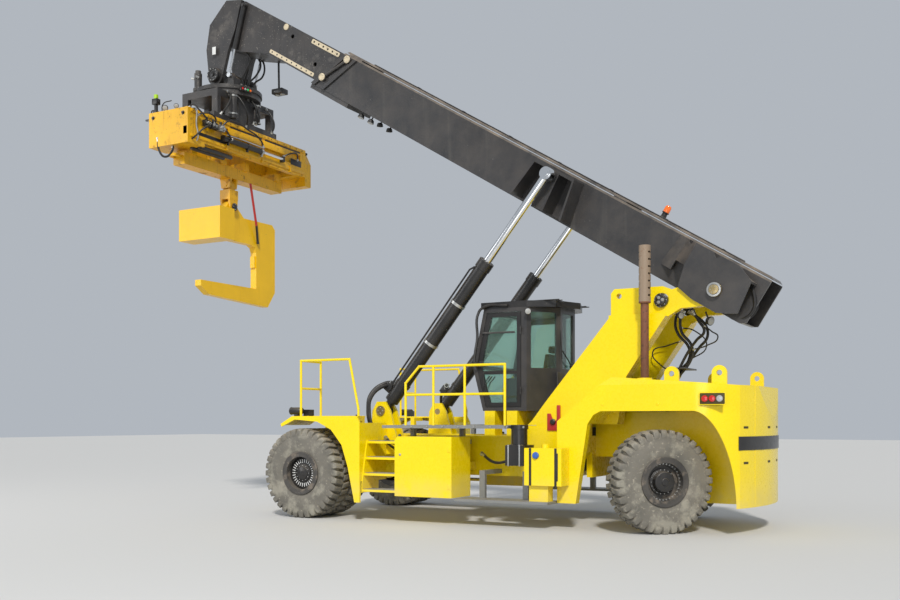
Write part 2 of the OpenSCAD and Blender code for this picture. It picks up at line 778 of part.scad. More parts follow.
module drive_rim_body() about_y(0, 0, tyre_r) {
    translate([barrel_in, twin_in]) square([bead_r - barrel_in, drive_half_w - twin_in]);
    for (y = [drive_half_w - tyre_w / 2, twin_in + tyre_w / 2])
        translate([0, y]) flange_pair(tyre_w / 2);
    translate([drive_hub_r - 5, drive_disc_y]) square([barrel_in - drive_hub_r + 10, 40]);
    translate([spindle_r + run_fit, drive_hub_y0])
        square([drive_hub_r - spindle_r - run_fit, spindle_end + 10 - drive_hub_y0]);
    translate([0, spindle_end + 10]) square([drive_hub_r - 30, 50]);
}

// Places its children in a steered wheel's own frame, with +Y pointing out along its axle
module steered(s) place() translate([steer_x, s * kingpin_y, tyre_r]) rotate([0, 0, steer_rest])
    side(s) children();

fork_t = 70;
steer_spindle_r = 50;
steer_in = 100;
steer_out = steer_in + tyre_w;
steer_disc_y = steer_out - 190;

module knuckle(s) color(yellow) steered(s) {
    for (z = [steer_boss_half + 5, -steer_boss_half - 5 - fork_t])
        translate([0, 0, z]) union() {
            cylinder(r = steer_boss_r, h = fork_t);
            translate([-90, 0, 0]) cube([180, 175, fork_t]);
        }
    translate([0, 0, -steer_boss_half - 5 - fork_t / 2])
        cylinder(r = kingpin_r, h = 2 * steer_boss_half + 10 + fork_t);
    translate([-90, 135, -steer_boss_half - 5 - fork_t])
        cube([180, 40, 2 * (steer_boss_half + 5 + fork_t)]);
    bar_y(0, 0, steer_spindle_r, 170, steer_disc_y + 20);
}

module steer_rim(s) color(dark) steered(s) about_y(0, 0, 0) {
    translate([barrel_in, steer_in]) square([bead_r - barrel_in, tyre_w]);
    translate([0, steer_in + tyre_w / 2]) flange_pair(tyre_w / 2);
    translate([140, steer_disc_y]) square([barrel_in - 135, 40]);
    translate([steer_spindle_r + run_fit, 185])
        square([150 - steer_spindle_r - run_fit, steer_disc_y + 40 - 185]);
    translate([0, steer_disc_y + 40]) square([140, 60]);
}

module steer_tyre(s) color(rubber) steered(s)
    across(0, steer_in + tyre_w / 2, 0) lugged_tyre();

// Boom, modelled along its own line from the pivot

module boom_frame() place() translate([pivot_x, 0, pivot_z]) rotate([0, -boom_rest, 0]) children();

outer_in_y = outer_half_w - boom_wall;
outer_in_low = outer_low - boom_wall;
inner_half_w = outer_in_y - pad_gap;
inner_low = outer_in_low - pad_gap;
inner_high = outer_in_high - pad_gap;
rod_along = rod_pin_r * cos(rod_pin_rise);
rod_up = rod_pin_r * sin(rod_pin_rise);
rod_pin_half = 55;
chamfer = 90;

module outer_outline() polygon([
    [outer_rear, -outer_low + 60], [outer_rear, outer_high - 40], [outer_rear + 60, outer_high],
    [outer_len, outer_high], [outer_len + 500, -outer_low], [outer_rear + 100, -outer_low]
]);

// Section across the boom, with slanted upper edges
module outer_section() polygon([
    [-outer_half_w, -outer_low], [-outer_half_w, outer_high - chamfer],
    [-outer_half_w + chamfer, outer_high], [outer_half_w - chamfer, outer_high],
    [outer_half_w, outer_high - chamfer], [outer_half_w, -outer_low]
]);

flare_fold = 630;
flare_end = 1090;
notch_r = 48;

// Plate that widens the boom over a tower and folds back to the boom's side ahead of it
module flare_plate() difference() {
    intersection() {
        translate([0, 0, -600]) linear_extrude(1300) polygon([
            [-500, flare_in], [flare_fold, flare_in], [flare_fold + 240, 535], [flare_end, outer_half_w - 5],
            [flare_end + 60, outer_half_w - 5], [flare_fold + 265, 570],
            [flare_fold + 15, flare_in + flare_t], [-500, flare_in + flare_t]
        ]);
        slab(0, 1000) polygon([
            [-500, -150], [-430, 380], [-150, outer_high - chamfer], [flare_end - 30, outer_high - chamfer],
            [flare_end + 50, 0], [flare_end + 20, -60], [flare_fold + 262, -60], [flare_fold + 262, 110],
            [flare_fold + 10, 110], [flare_fold - 80, -240],
            [250, -300], [-200, -300]
        ]);
    }
    // Hand holes in the upper edge
    for (x = [250, flare_fold + 150]) slab(outer_half_w + 20, 1000)
        translate([x, outer_high - chamfer - 10]) circle(r = notch_r);
}

// The mouth's edge runs down and forward by this share
mouth_slant = 500 / (outer_high + outer_low);
collar_t = 35;
collar_w = 75;
// Places of the caps of the wear pads' adjuster, along and over the boom's line
cap_places = [[outer_len - 128, 440], [outer_len + 255, -80]];

// Slanted ribs round the mouth, with the adjuster between them
module collar() {
    for (x = [outer_len - collar_w, outer_len - 330]) slab(outer_half_w - 5, outer_half_w + collar_t) polygon([
        [x, outer_high - chamfer], [x + collar_w, outer_high - chamfer],
        [x + collar_w + (outer_high - chamfer + outer_low) * mouth_slant, -outer_low],
        [x + (outer_high - chamfer + outer_low) * mouth_slant, -outer_low]
    ]);
    for (c = cap_places) bar_y(c[0], c[1], 78, outer_half_w - 5, outer_half_w + 60);
    rod_between([cap_places[0][0], outer_half_w + 30, cap_places[0][1]],
        [cap_places[1][0], outer_half_w + 30, cap_places[1][1]], 28);
}

lug_out = 885;
lug_boss_out = lift_y - lift_eye_half - 12;

module boom_outer() color(dark) boom_frame() difference() {
    union() {
        intersection() {
            slab(-outer_half_w, outer_half_w) outer_outline();
            translate([-2000, 0, 0]) rotate([90, 0, 90]) linear_extrude(14000) outer_section();
        }
        pair() {
            // Side boxes that carry the rods' pins
            slab(outer_half_w - 5, lug_out) polygon([
                [rod_along - 560, -outer_low + 40], [rod_along - 420, outer_high - 120],
                [rod_along + 420, outer_high - 120], [rod_along + 560, -outer_low + 40]
            ]);
            flare_plate();
            // Top webs that join the plates to the boom
            slab(outer_half_w - 5, flare_in + 5) polygon([
                [-430, 380], [-150, 430], [flare_fold, 430], [flare_fold, 395], [-150, 395], [-430, 345]
            ]);
            collar();
        }
        // Housing of the lower wear pads under the boom's mouth
        block([outer_len - 550, -outer_half_w + 20, -outer_low - 90],
            [outer_len + 480, outer_half_w - 20, -outer_low]);
        // Bosses that face the rods' eyes
        pair() bar_y(rod_along, rod_up, 115, lug_out - 5, lug_boss_out);
    }
    // Hollow for the inner boom, with the wear pads left at its mouth
    difference() {
        block([outer_rear - 10, -outer_in_y, -outer_in_low], [outer_len + 900, outer_in_y, outer_in_high]);
        difference() {
            block([outer_len - 400, -outer_in_y, -outer_in_low], [outer_len - 60, outer_in_y, outer_in_high]);
            block([outer_len - 401, -inner_half_w - seat_gap, -inner_low - seat_gap],
                [outer_len, inner_half_w + seat_gap, inner_high + seat_gap]);
        }
    }
    // Bores for the boom's pivot pins
    pair() bar_y(0, 0, pin_r + run_fit, flare_in - 5, flare_in + flare_t + 5);
    // Open side boxes, seen from below and outside
    pair() slab(outer_half_w + 30, lug_out + 1) polygon([
        [rod_along - 520, -outer_low + 39], [rod_along - 400, outer_high - 170],
        [rod_along - 130, outer_high - 170], [rod_along - 170, -outer_low + 39]
    ]);
    pair() slab(outer_half_w + 30, lug_out + 1) polygon([
        [rod_along + 170, -outer_low + 39], [rod_along + 130, outer_high - 170],
        [rod_along + 400, outer_high - 170], [rod_along + 520, -outer_low + 39]
    ]);
}

inner_end = head_along - 1000;
tail_pad = outer_len - inner_tail + 20;
pad_len = 260;
side_holes = [[outer_len + 658, 66], [inner_end - 429, 334]];
head_pin_r = 70;

module boom_inner() color(dark) boom_frame() difference() {
    union() {
        block([outer_len - inner_tail, -inner_half_w, -inner_low], [inner_end, inner_half_w, inner_high]);
        // Wear pads
        difference() {
            block([tail_pad, -outer_in_y + seat_gap, -outer_in_low + seat_gap],
                [tail_pad + pad_len, outer_in_y - seat_gap, outer_in_high - seat_gap]);
            block([tail_pad - 1, -inner_half_w + 5, -inner_low + 5],
                [tail_pad + pad_len + 1, inner_half_w - 5, inner_high - 5]);
        }
    }
    block([outer_len - inner_tail - 10, -inner_half_w + 30, -inner_low + 30],
        [inner_end + 10, inner_half_w - 30, inner_high - 30]);
    // Round holes through both sides
    for (c = side_holes) bar_y(c[0], c[1], 42, -inner_half_w - 1, inner_half_w + 1);
}

wing_t = 80;
wing_out = inner_half_w + wing_t;
damper_y = inner_half_w + 65;
damper_pin_r = 30;
damper_up = [head_along + 40, 416];

// Box part of the head, between its wings
module head_outline() polygon([
    [inner_end, inner_high], [head_along + 100, inner_high], [head_along + 540, 340],
    [head_along + 700, -270], [head_along + 560, -560], [head_along + 100, -470],
    [head_along - 350, -420], [inner_end, -inner_low]
]);

// Wings that run down to the head pins
module wing_outline() union() {
    polygon([
        [head_along + 120, 330], [head_along + 150, inner_high - 10], [head_along + 540, 335],
        [head_along + 700, -270], [head_along + 510, -760], [head_along + 195, -head_drop - 40],
        [head_along - 199, -head_drop + 20], [head_along - 50, -550], [head_along, -100]
    ]);
    translate([head_along, -head_drop]) circle(r = 200);
}

module boom_head() color(dark) boom_frame() {
    slab(-inner_half_w, inner_half_w) head_outline();
    pair() {
        slab(inner_half_w - 5, wing_out) wing_outline();
        bar_y(head_along, -head_drop, 150, wing_out - 5, wing_out + 60);
        // Pins that carry the dampers
        bar_y(damper_up[0], damper_up[1], damper_pin_r, inner_half_w - 5, damper_y + 60);
    }
    // Head pins, fixed in the wings
    bar_y(head_along, -head_drop, head_pin_r, -inner_half_w - 5, inner_half_w + 5);
}

// Lift cylinders, from the lower pin along their own line

// Inner end of each rod, which leaves room for its way in
rod_start = 1450;

module lift_frame(s) place() translate([base_x, s * lift_y, base_z]) rotate([0, -lift_a, 0]) children();

module lift_barrels() color(black) for (s = [-1, 1]) lift_frame(s) difference() {
    union() {
        bar_x(0, 0, lift_eye_half - 2, 0, 300);
        bar_x(0, 0, barrel_d / 2, 235, barrel_len);
        bar_x(0, 0, barrel_d / 2 + 12, barrel_len - 160, barrel_len);
        bar_y(0, 0, 130, -lift_eye_half, lift_eye_half);
    }
    bar_y(0, 0, lift_pin_r + run_fit, -lift_eye_half - 1, lift_eye_half + 1);
    bar_x(0, 0, rod_d / 2 + run_fit, 320, barrel_len + 1);
}

module lift_rods() color("silver") for (s = [-1, 1]) lift_frame(s) side(s) {
    bar_x(0, 0, rod_d / 2, rod_start, lift_len - 40);
    // Eye with its pin and cap
    bar_y(lift_len, 0, 110, -lift_eye_half + 3, lift_eye_half - 3);
    bar_y(lift_len, 0, rod_pin_half, -lift_eye_half - 4, lift_eye_half + 25);
    bar_y(lift_len, 0, 85, lift_eye_half - 5, lift_eye_half + 12);
}

// Head: yoke, slew ring, spreader and hook

module head_place() place() translate([head_x, 0, head_z]) children();

yoke_half = inner_half_w - move_gap;
yoke_lug = [-370, -40];
// Place of the dampers' upper pins from the head pins
damper_dx = (damper_up[0] - head_along) * rest_cos - (damper_up[1] + head_drop) * rest_sin;
damper_dz = (damper_up[0] - head_along) * rest_sin + (damper_up[1] + head_drop) * rest_cos;
damper_len = norm([yoke_lug[0] - damper_dx, yoke_lug[1] - damper_dz]);
damper_a = atan2(yoke_lug[1] - damper_dz, yoke_lug[0] - damper_dx);

module head_yoke() color(dark) head_place() difference() {
    union() {
        slab(-yoke_half, yoke_half) polygon([
            [-170, -ring_drop + 15], [-170, 60], [-100, 140], [100, 140], [170, 60], [170, -ring_drop + 15]
        ]);
        translate([0, 0, -ring_drop - 60]) cylinder(r = ring_r, h = 80, $fn = 96);
        // Slew motor
        translate([430, 480, -ring_drop]) cylinder(r = 105, h = 60);
        translate([430, 480, -ring_drop + 50]) cylinder(r = 80, h = 330);
        translate([430, 480, -ring_drop + 370]) cylinder(r = 60, h = 70);
        // Lugs that face the dampers' lower eyes
        pair() slab(yoke_half - 60, damper_y - 35) polygon([
            [-470, -ring_drop + 15], [-440, -60], [-400, 10], [-340, 10], [-260, -ring_drop + 15]
        ]);
    }
    bar_y(0, 0, head_pin_r + run_fit, -yoke_half - 1, yoke_half + 1);
}

module damper_frame(s) head_place()
    translate([damper_dx, s * damper_y, damper_dz]) rotate([0, -damper_a, 0]) children();

module damper_barrels() color(black) for (s = [-1, 1]) damper_frame(s) difference() {
    union() {
        bar_y(0, 0, 58, -40, 40);
        bar_x(0, 0, 52, 30, 900);
    }
    bar_y(0, 0, damper_pin_r + run_fit, -41, 41);
    bar_x(0, 0, 25 + run_fit, 120, 901);
}
module damper_rods() color("silver") for (s = [-1, 1]) damper_frame(s) side(s) {
    bar_x(0, 0, 25, 400, damper_len - 20);
    bar_y(damper_len, 0, 50, -28, 28);
}

frame_z = -ring_drop - 60;

module slew_frame() color(dark) head_place() {
    translate([0, 0, frame_z - 110]) cylinder(r = ring_r - 30, h = 110 - seat_gap, $fn = 96);
    difference() {
        block([-480, -900, -spreader_drop + 120], [480, 900, frame_z - 105]);
        for (s = [-1, 1]) side(s) block([-481, 250, -spreader_drop + 119], [481, 800, frame_z - 250]);
        block([-330, -901, -spreader_drop + 119], [330, 901, frame_z - 250]);
    }
    for (x = [-480, 380])
        block([x, -1000, -spreader_drop + seat_gap], [x + 100, 1000, -spreader_drop + 130]);
    // Upright cylinders behind the frame. Columns: place across, radius, low end, high end
    for (c = [[520, 75, -1010, -500], [-270, 45, -930, -530]]) {
        translate([-570, c[0], c[2]]) cylinder(r = c[1], h = c[3] - c[2]);
        for (z = [c[2] + 20, c[3] - 90]) block([-570, c[0] - 40, z], [-475, c[0] + 40, z + 60]);
    }
}

spreader_low = -spreader_drop - spreader_h;
loop_y = 1650;

module spreader_frame() color(old_yellow) head_place() {
    difference() {
        block([-spreader_half, -spreader_right + 200, spreader_low + 80],
            [spreader_half, spreader_left - 20, -spreader_drop]);
        block([-spreader_half + 120, -spreader_right + 500, spreader_low],
            [spreader_half - 120, spreader_left - 620, 0]);
        for (s = [-1, 1]) block(
            [s > 0 ? spreader_half - 60 : -spreader_half - 1, -spreader_right + 400, spreader_low + 300],
            [s > 0 ? spreader_half + 1 : -spreader_half + 60, spreader_left - 500, -spreader_drop - 160]);
    }
    // End boxes
    block([-spreader_half, spreader_left - 480, spreader_low], [spreader_half, spreader_left, -spreader_drop]);
    slab(-spreader_right, -spreader_right + 220) polygon([
        [-spreader_half, spreader_low - 120], [-spreader_half, -spreader_drop - 300],
        [-spreader_half + 150, -spreader_drop], [spreader_half - 150, -spreader_drop],
        [spreader_half, -spreader_drop - 300], [spreader_half, spreader_low - 120]
    ]);
    // Ribs on both long faces
    for (y = [660, -480, -1450], x = [-spreader_half - 35, spreader_half - 5])
        block([x, y, spreader_low + 90], [x + 40, y + 45, spreader_low + 215]);
    // Lower beam that carries the hook, with a loop at its left end
    block([-150, -1600, spreader_low - 320], [150, 1500, spreader_low - 80]);
    translate([0, loop_y, spreader_low - 200]) linear_extrude(60) difference() {
        union() {
            circle(r = 100);
            translate([-100, -160]) square([200, 160]);
        }
        circle(r = 55);
        translate([-55, -100]) square([110, 100]);
    }
    for (y = [-1500, -420, 300, 1200]) block([-200, y, spreader_low - 90], [200, y + 140, spreader_low + 81]);
    // Lugs with the pin that carries the link
    pair() slab(60 + move_gap, 120) polygon([
        [-150, spreader_low - 300], [-110, link_pin_z - 80], [110, link_pin_z - 80], [150, spreader_low - 300]
    ]);
    bar_y(0, link_pin_z, link_pin_r, -130, 130);
}

shift_x = -spreader_half - 70;
shift_z = spreader_low + 290;

module spreader_gear() color(black) head_place() {
    // Side shift cylinder with its rod and its two brackets
    bar_y(shift_x, shift_z, 58, -400, 850);
    bar_y(shift_x, shift_z, 28, -1100, -400);
    for (y = [-1130, 790])
        block([shift_x - 30, y, shift_z - 60], [-spreader_half, y + 60, shift_z + 60]);
    // Valves on the rear face
    for (y = [870, 1080]) block([-spreader_half - 60, y, shift_z + 120], [-spreader_half, y + 170, shift_z + 250]);
    // Camera post and two bars on the left end
    block([380, spreader_left - 150, -spreader_drop], [480, spreader_left - 60, -spreader_drop + 60]);
    translate([430, spreader_left - 105, -spreader_drop + 50]) cylinder(r = 38, h = 150);
    for (y = [spreader_left - 200, spreader_left - 110])
        block([spreader_half, y, -spreader_drop - 110], [ring_r - 10, y + 40, -spreader_drop - 80]);
}

link_pin_z = -2230;
link_pin_r = 50;
hook_pin_r = 55;
link_half = 130;
cheek_t = 50;

module hook_link() color(old_yellow) head_place() difference() {
    union() {
        // Tongue on the upper pin, block, and two cheeks beside the hook's lug
        slab(-60, 60) union() {
            translate([0, link_pin_z]) circle(r = 110);
            translate([-110, -2360]) square([220, 2360 + link_pin_z]);
        }
        block([-link_half - 10, -link_half, -2550], [link_half + 10, link_half, -2350]);
        for (x = [hook_t / 2 + 5, -hook_t / 2 - 5 - cheek_t]) wall(x, x + cheek_t) union() {
            translate([0, -hook_drop]) circle(r = 115);
            translate([-link_half, -2551]) square([2 * link_half, 60]);
            polygon([[-link_half, -2545], [link_half, -2545], [110, -hook_drop], [-110, -hook_drop]]);
        }
        // Lower pin, fixed in the cheeks
        bar_x(0, -hook_drop, hook_pin_r, -hook_t / 2 - 70, hook_t / 2 + 70);
    }
    bar_y(0, link_pin_z, link_pin_r + run_fit, -200, 200);
}

arm_top = -2890;
arm_low = -3420;
back_in = -800;
back_out = -1450;
prong_top = arm_low - hook_open;
prong_low = prong_top - 370;
prong_tip = back_in + prong_len;
weight_y = [470, 915];

module hook_outline() difference() {
    union() {
        polygon([
            [weight_y[0] + 100, arm_top], [back_out + 100, arm_top + 20], [back_out, arm_top - 80],
            [back_out, prong_low + 350], [back_out + 250, prong_low], [prong_tip - 250, prong_low + 90],
            [prong_tip, prong_top - 120], [prong_tip, prong_top], [back_in, prong_top],
            [back_in, arm_low - 150], [back_in + 45, arm_low - 45], [back_in + 150, arm_low],
            [0, arm_low], [weight_y[0] + 100, arm_low + 150]
        ]);
        // Lug over the arm
        polygon([[-420, arm_top - 10], [-330, arm_top + 60], [-130, -hook_drop + 50],
            [130, -hook_drop + 50], [300, arm_top - 10]]);
        translate([0, -hook_drop]) circle(r = 139);
    }
    translate([0, -hook_drop]) circle(r = hook_pin_r + run_fit);
}

module coil_hook() color(yellow) head_place() {
    wall(-hook_t / 2, hook_t / 2) hook_outline();
    // Balance weight
    block([-weight_half, weight_y[0], -3530], [weight_half, weight_y[1], -2880]);
    // Pads that guard what hangs on the prong
    block([-60, back_in - 5, -3900], [60, back_in + 40, -3650]);
}

main_frame();
tower(1);  // tower_left
tower(-1);  // tower_right
rear_body();
engine_block();
engine_hood();
drive_axle();
steer_axle();
front_fenders();
walkways();
handrails();
boarding_steps();
side_boxes();
side_tank();
air_cleaner();
exhaust_stack();
frame_pins();
chassis_lamps();
cab_shell();
cab_roof();
cab_glass();
cab_seat();
cab_console();
cab_door();
door_glass();
drive_rim(1);  // drive_rim_left
drive_rim(-1);  // drive_rim_right
drive_tyres(1);  // drive_tyres_left
drive_tyres(-1);  // drive_tyres_right
knuckle(1);  // knuckle_left
knuckle(-1);  // knuckle_right
steer_rim(1);  // steer_rim_left
steer_rim(-1);  // steer_rim_right
steer_tyre(1);  // steer_tyre_left
steer_tyre(-1);  // steer_tyre_right
boom_outer();
boom_inner();
boom_head();
lift_barrels();
lift_rods();
damper_barrels();
damper_rods();
head_yoke();
slew_frame();
spreader_frame();
spreader_gear();
hook_link();
coil_hook();
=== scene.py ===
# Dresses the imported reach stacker: finishes for every surface, tread, bolts, hoses, lamps and trim.
import json
import math

import bpy
from mathutils import Matrix, Vector


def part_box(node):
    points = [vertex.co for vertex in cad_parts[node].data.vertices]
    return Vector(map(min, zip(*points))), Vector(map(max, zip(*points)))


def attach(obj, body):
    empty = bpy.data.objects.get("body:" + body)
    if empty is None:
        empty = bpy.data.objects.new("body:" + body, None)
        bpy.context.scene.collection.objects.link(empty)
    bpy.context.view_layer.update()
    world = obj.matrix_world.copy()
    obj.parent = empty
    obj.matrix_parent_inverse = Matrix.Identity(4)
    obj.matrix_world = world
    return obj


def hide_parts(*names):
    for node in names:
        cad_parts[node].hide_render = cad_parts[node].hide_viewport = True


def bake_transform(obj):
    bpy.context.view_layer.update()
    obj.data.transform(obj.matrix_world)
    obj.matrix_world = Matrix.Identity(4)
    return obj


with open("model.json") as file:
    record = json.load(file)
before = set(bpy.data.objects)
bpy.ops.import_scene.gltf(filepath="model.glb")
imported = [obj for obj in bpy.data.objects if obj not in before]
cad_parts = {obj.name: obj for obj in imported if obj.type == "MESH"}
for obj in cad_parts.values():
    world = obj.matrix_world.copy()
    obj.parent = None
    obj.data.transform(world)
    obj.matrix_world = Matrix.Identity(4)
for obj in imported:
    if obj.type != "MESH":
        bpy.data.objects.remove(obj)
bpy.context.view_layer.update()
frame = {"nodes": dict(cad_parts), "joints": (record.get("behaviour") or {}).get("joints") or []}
joints = {joint["name"]: joint for joint in frame["joints"]}

# Places, in metres. X points ahead, Y to the left and Z up

drive_low, drive_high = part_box("drive_tyres_left")
DRIVE_X = (drive_low[0] + drive_high[0]) / 2
TYRE_R = (drive_high[2] - drive_low[2]) / 2
PIVOT = Vector(joints["boom_lift"]["pos_m"])
ALONG = Vector(joints["boom_extend"]["axis"]).normalized()
ACROSS = Vector((0, 1, 0))
UP_BOOM = ALONG.cross(ACROSS)
HEAD = Vector(joints["head_tilt"]["pos_m"])
UP = Vector((0, 0, 1))
SIDES = ((1, "left"), (-1, "right"))


def at(x, y, z):
    """A place whose x is counted from the drive axle."""
    return Vector((DRIVE_X + x, y, z))


def on_boom(along, y, up):
    """A place on the boom, counted from its pivot."""
    return PIVOT + ALONG * along + ACROSS * y + UP_BOOM * up


def at_head(x, y, z):
    """A place counted from the head pins."""
    return HEAD + Vector((x, y, z))


def facing(direction, origin, upward=UP):
    """A frame at origin whose Z is the direction, and whose Y is as near upward as it can be."""
    z = Vector(direction).normalized()
    x = Vector(upward).cross(z)
    if x.length < 1e-4:
        x = Vector((1, 0, 0))
    x.normalize()
    y = z.cross(x)
    axes = Matrix((x, y, z)).transposed().to_4x4()
    return Matrix.Translation(Vector(origin)) @ axes


def outward(side, place, upward=UP):
    """A frame whose Z points out to one side of the machine."""
    return facing((0, side, 0), place, upward)


def moved(place):
    return Matrix.Translation(place)


def lifted(placed, height):
    """A frame moved along its own Z."""
    return placed @ Matrix.Translation((0, 0, height))


# Camera, solved from the wheels, the ground and the uprights

PHOTO_W = 900
PHOTO_H = 600
FOCAL_PX = 1017
HORIZON_PX = 420
SENSOR = 36.0
AZIMUTH = 29.0
EYE = at(-11.28, 16.80, 1.77)


def make_camera():
    lens = bpy.data.cameras.new("Camera")
    lens.sensor_width = SENSOR
    lens.lens = FOCAL_PX / PHOTO_W * SENSOR
    lens.shift_y = (HORIZON_PX - PHOTO_H / 2) / PHOTO_W
    lens.clip_end = 300
    camera = bpy.data.objects.new("Camera", lens)
    camera.location = EYE
    camera.rotation_euler = (math.radians(90), 0, math.radians(180 + AZIMUTH))
    bpy.context.scene.collection.objects.link(camera)
    bpy.context.scene.camera = camera


# Light and floor

SKY_TINT = (0.80, 0.86, 0.94, 1)
SKY_STRENGTH = 0.55
SUN_TINT = (1.0, 0.96, 0.90)
FLOOR_TINT = (0.60, 0.60, 0.59, 1)
FLOOR_SIZE = 160
MIDDLE = (0, 0, 3)
LOW_MIDDLE = (0, 0, 2.5)


def make_light(name, kind, energy, place, target, size, tint=(1, 1, 1)):
    """A light aimed at a target. Size is a sun's angle in degrees, or a disk's width."""
    lamp = bpy.data.lights.new(name, kind)
    lamp.energy = energy
    lamp.color = tint
    if kind == "SUN":
        lamp.angle = math.radians(size)
    else:
        lamp.shape = "DISK"
        lamp.size = size
    holder = bpy.data.objects.new(name, lamp)
    holder.location = place
    aim = Vector(target) - Vector(place)
    holder.rotation_euler = aim.to_track_quat("-Z", "Y").to_euler()
    bpy.context.scene.collection.objects.link(holder)


def make_studio():
    world = bpy.data.worlds.new("Studio")
    bpy.context.scene.world = world
    world.use_nodes = True
    back = world.node_tree.nodes["Background"]
    back.inputs["Color"].default_value = SKY_TINT
    back.inputs["Strength"].default_value = SKY_STRENGTH
    make_light("Key", "SUN", 2.7, (-9, 16, 18), MIDDLE, 6, SUN_TINT)
    make_light("Fill", "AREA", 450, (14, 12, 9), MIDDLE, 9)
    make_light("Low fill", "AREA", 260, (-6, 15, 3.2), LOW_MIDDLE, 7)
    # The default view transform would wash out the strong yellow
    bpy.context.scene.view_settings.view_transform = "Standard"


def make_floor():
    bpy.ops.mesh.primitive_plane_add(size=FLOOR_SIZE, location=(0, 0, 0))
    floor = bpy.context.object
    floor.name = "Floor"
    pale = bpy.data.materials.new("Pale floor")
    pale.use_nodes = True
    shader = pale.node_tree.nodes["Principled BSDF"]
    shader.inputs["Base Color"].default_value = FLOOR_TINT
    shader.inputs["Roughness"].default_value = 0.85
    floor.data.materials.append(pale)


# Shader building


def new_material(name):
    """A material with its tree and its shader."""
    made = bpy.data.materials.new(name)
    made.use_nodes = True
    return made, made.node_tree, made.node_tree.nodes["Principled BSDF"]


def put(tree, kind, inputs=(), **settings):
    """Adds a node, sets its values and links the sockets given as inputs."""
    node = tree.nodes.new(kind)
    for key, value in settings.items():
        setattr(node, key, value)
    for key, value in dict(inputs).items():
        if isinstance(value, bpy.types.NodeSocket):
            tree.links.new(value, node.inputs[key])
        else:
            node.inputs[key].default_value = value
    return node


def maths(tree, operation, a, b=0.0, c=0.0, clamp=False):
    return put(tree, "ShaderNodeMath", {0: a, 1: b, 2: c}, operation=operation, use_clamp=clamp).outputs[0]


def object_place(tree):
    return put(tree, "ShaderNodeTexCoord").outputs["Object"]


def height_of(tree, where):
    return put(tree, "ShaderNodeSeparateXYZ", {0: where}).outputs["Z"]


def clouds(tree, where, scale, detail, roughness, low, high):
    """A noise mask: 0 where the noise is under low, 1 where it is over high."""
    noise = put(tree, "ShaderNodeTexNoise",
                {"Vector": where, "Scale": scale, "Detail": detail, "Roughness": roughness})
    ramp = put(tree, "ShaderNodeMapRange", {"Value": noise.outputs["Fac"], "From Min": low, "From Max": high})
    return ramp.outputs[0]


def new_group(name, **inputs):
    """A node group with number inputs and one output, Mask: its tree, inputs and output."""
    tree = bpy.data.node_groups.new(name, "ShaderNodeTree")
    for title, default in inputs.items():
        socket = tree.interface.new_socket(title, in_out="INPUT", socket_type="NodeSocketFloat")
        socket.default_value = default
    tree.interface.new_socket("Mask", in_out="OUTPUT", socket_type="NodeSocketFloat")
    given = tree.nodes.new("NodeGroupInput").outputs
    return tree, given, tree.nodes.new("NodeGroupOutput").inputs["Mask"]


def make_patches():
    """Soft blotches of a given size: 0 outside, 1 inside."""
    tree, given, mask = new_group("Patches", Size=1.0, Amount=0.5, Edge=0.15)
    scale = maths(tree, "DIVIDE", 1.0, given["Size"])
    low = maths(tree, "SUBTRACT", 1.0, given["Amount"])
    high = maths(tree, "ADD", low, given["Edge"])
    tree.links.new(clouds(tree, object_place(tree), scale, 8.0, 0.62, low, high), mask)
    return tree


def make_streaks():
    """Marks that run down the surface."""
    tree, given, mask = new_group("Streaks", Width=0.05, Amount=0.4)
    squeezed = put(tree, "ShaderNodeMapping", {"Vector": object_place(tree), "Scale": (1.0, 1.0, 0.07)})
    scale = maths(tree, "DIVIDE", 1.0, given["Width"])
    low = maths(tree, "SUBTRACT", 1.0, given["Amount"])
    high = maths(tree, "ADD", low, 0.2)
    tree.links.new(clouds(tree, squeezed.outputs[0], scale, 5.0, 0.5, low, high), mask)
    return tree


def make_dust():
    """Dust that lies on what faces up, thinner toward the sides."""
    tree, given, mask = new_group("Dust", Amount=0.5, Sides=0.1)
    coords = put(tree, "ShaderNodeTexCoord")
    turned_up = height_of(tree, coords.outputs["Normal"])
    lying = put(tree, "ShaderNodeMapRange", {"Value": turned_up, "From Min": 0.15, "From Max": 0.95})
    cloudy = clouds(tree, coords.outputs["Object"], 2.2, 9.0, 0.68, 0.3, 0.72)
    share = maths(tree, "ADD", lying.outputs[0], given["Sides"])
    thick = maths(tree, "MULTIPLY", share, cloudy)
    tree.links.new(maths(tree, "MULTIPLY", thick, given["Amount"], clamp=True), mask)
    return tree


def make_splash():
    """Road dirt that fades out with height over the ground."""
    tree, given, mask = new_group("Splash", Height=1.0, Amount=0.6)
    where = object_place(tree)
    fade = put(tree, "ShaderNodeMapRange",
               {"Value": height_of(tree, where), "From Min": 0.3, "From Max": given["Height"],
                "To Min": 1.0, "To Max": 0.0})
    cloudy = clouds(tree, where, 3.5, 10.0, 0.7, 0.35, 0.7)
    both = maths(tree, "MULTIPLY", fade.outputs[0], cloudy)
    tree.links.new(maths(tree, "MULTIPLY", both, given["Amount"], clamp=True), mask)
    return tree


PATCHES = make_patches()
STREAKS = make_streaks()
DUST = make_dust()
SPLASH = make_splash()


def use(tree, group, **values):
    """Places a node group and returns its mask."""
    node = tree.nodes.new("ShaderNodeGroup")
    node.node_tree = group
    for key, value in values.items():
        node.inputs[key].default_value = value
    return node.outputs["Mask"]


def dusty(amount=0.5, sides=0.08):
    return lambda tree: use(tree, DUST, Amount=amount, Sides=sides)


def patchy(size, amount, edge=0.06):
    return lambda tree: use(tree, PATCHES, Size=size, Amount=amount, Edge=edge)


def streaky(width, amount):
    return lambda tree: use(tree, STREAKS, Width=width, Amount=amount)


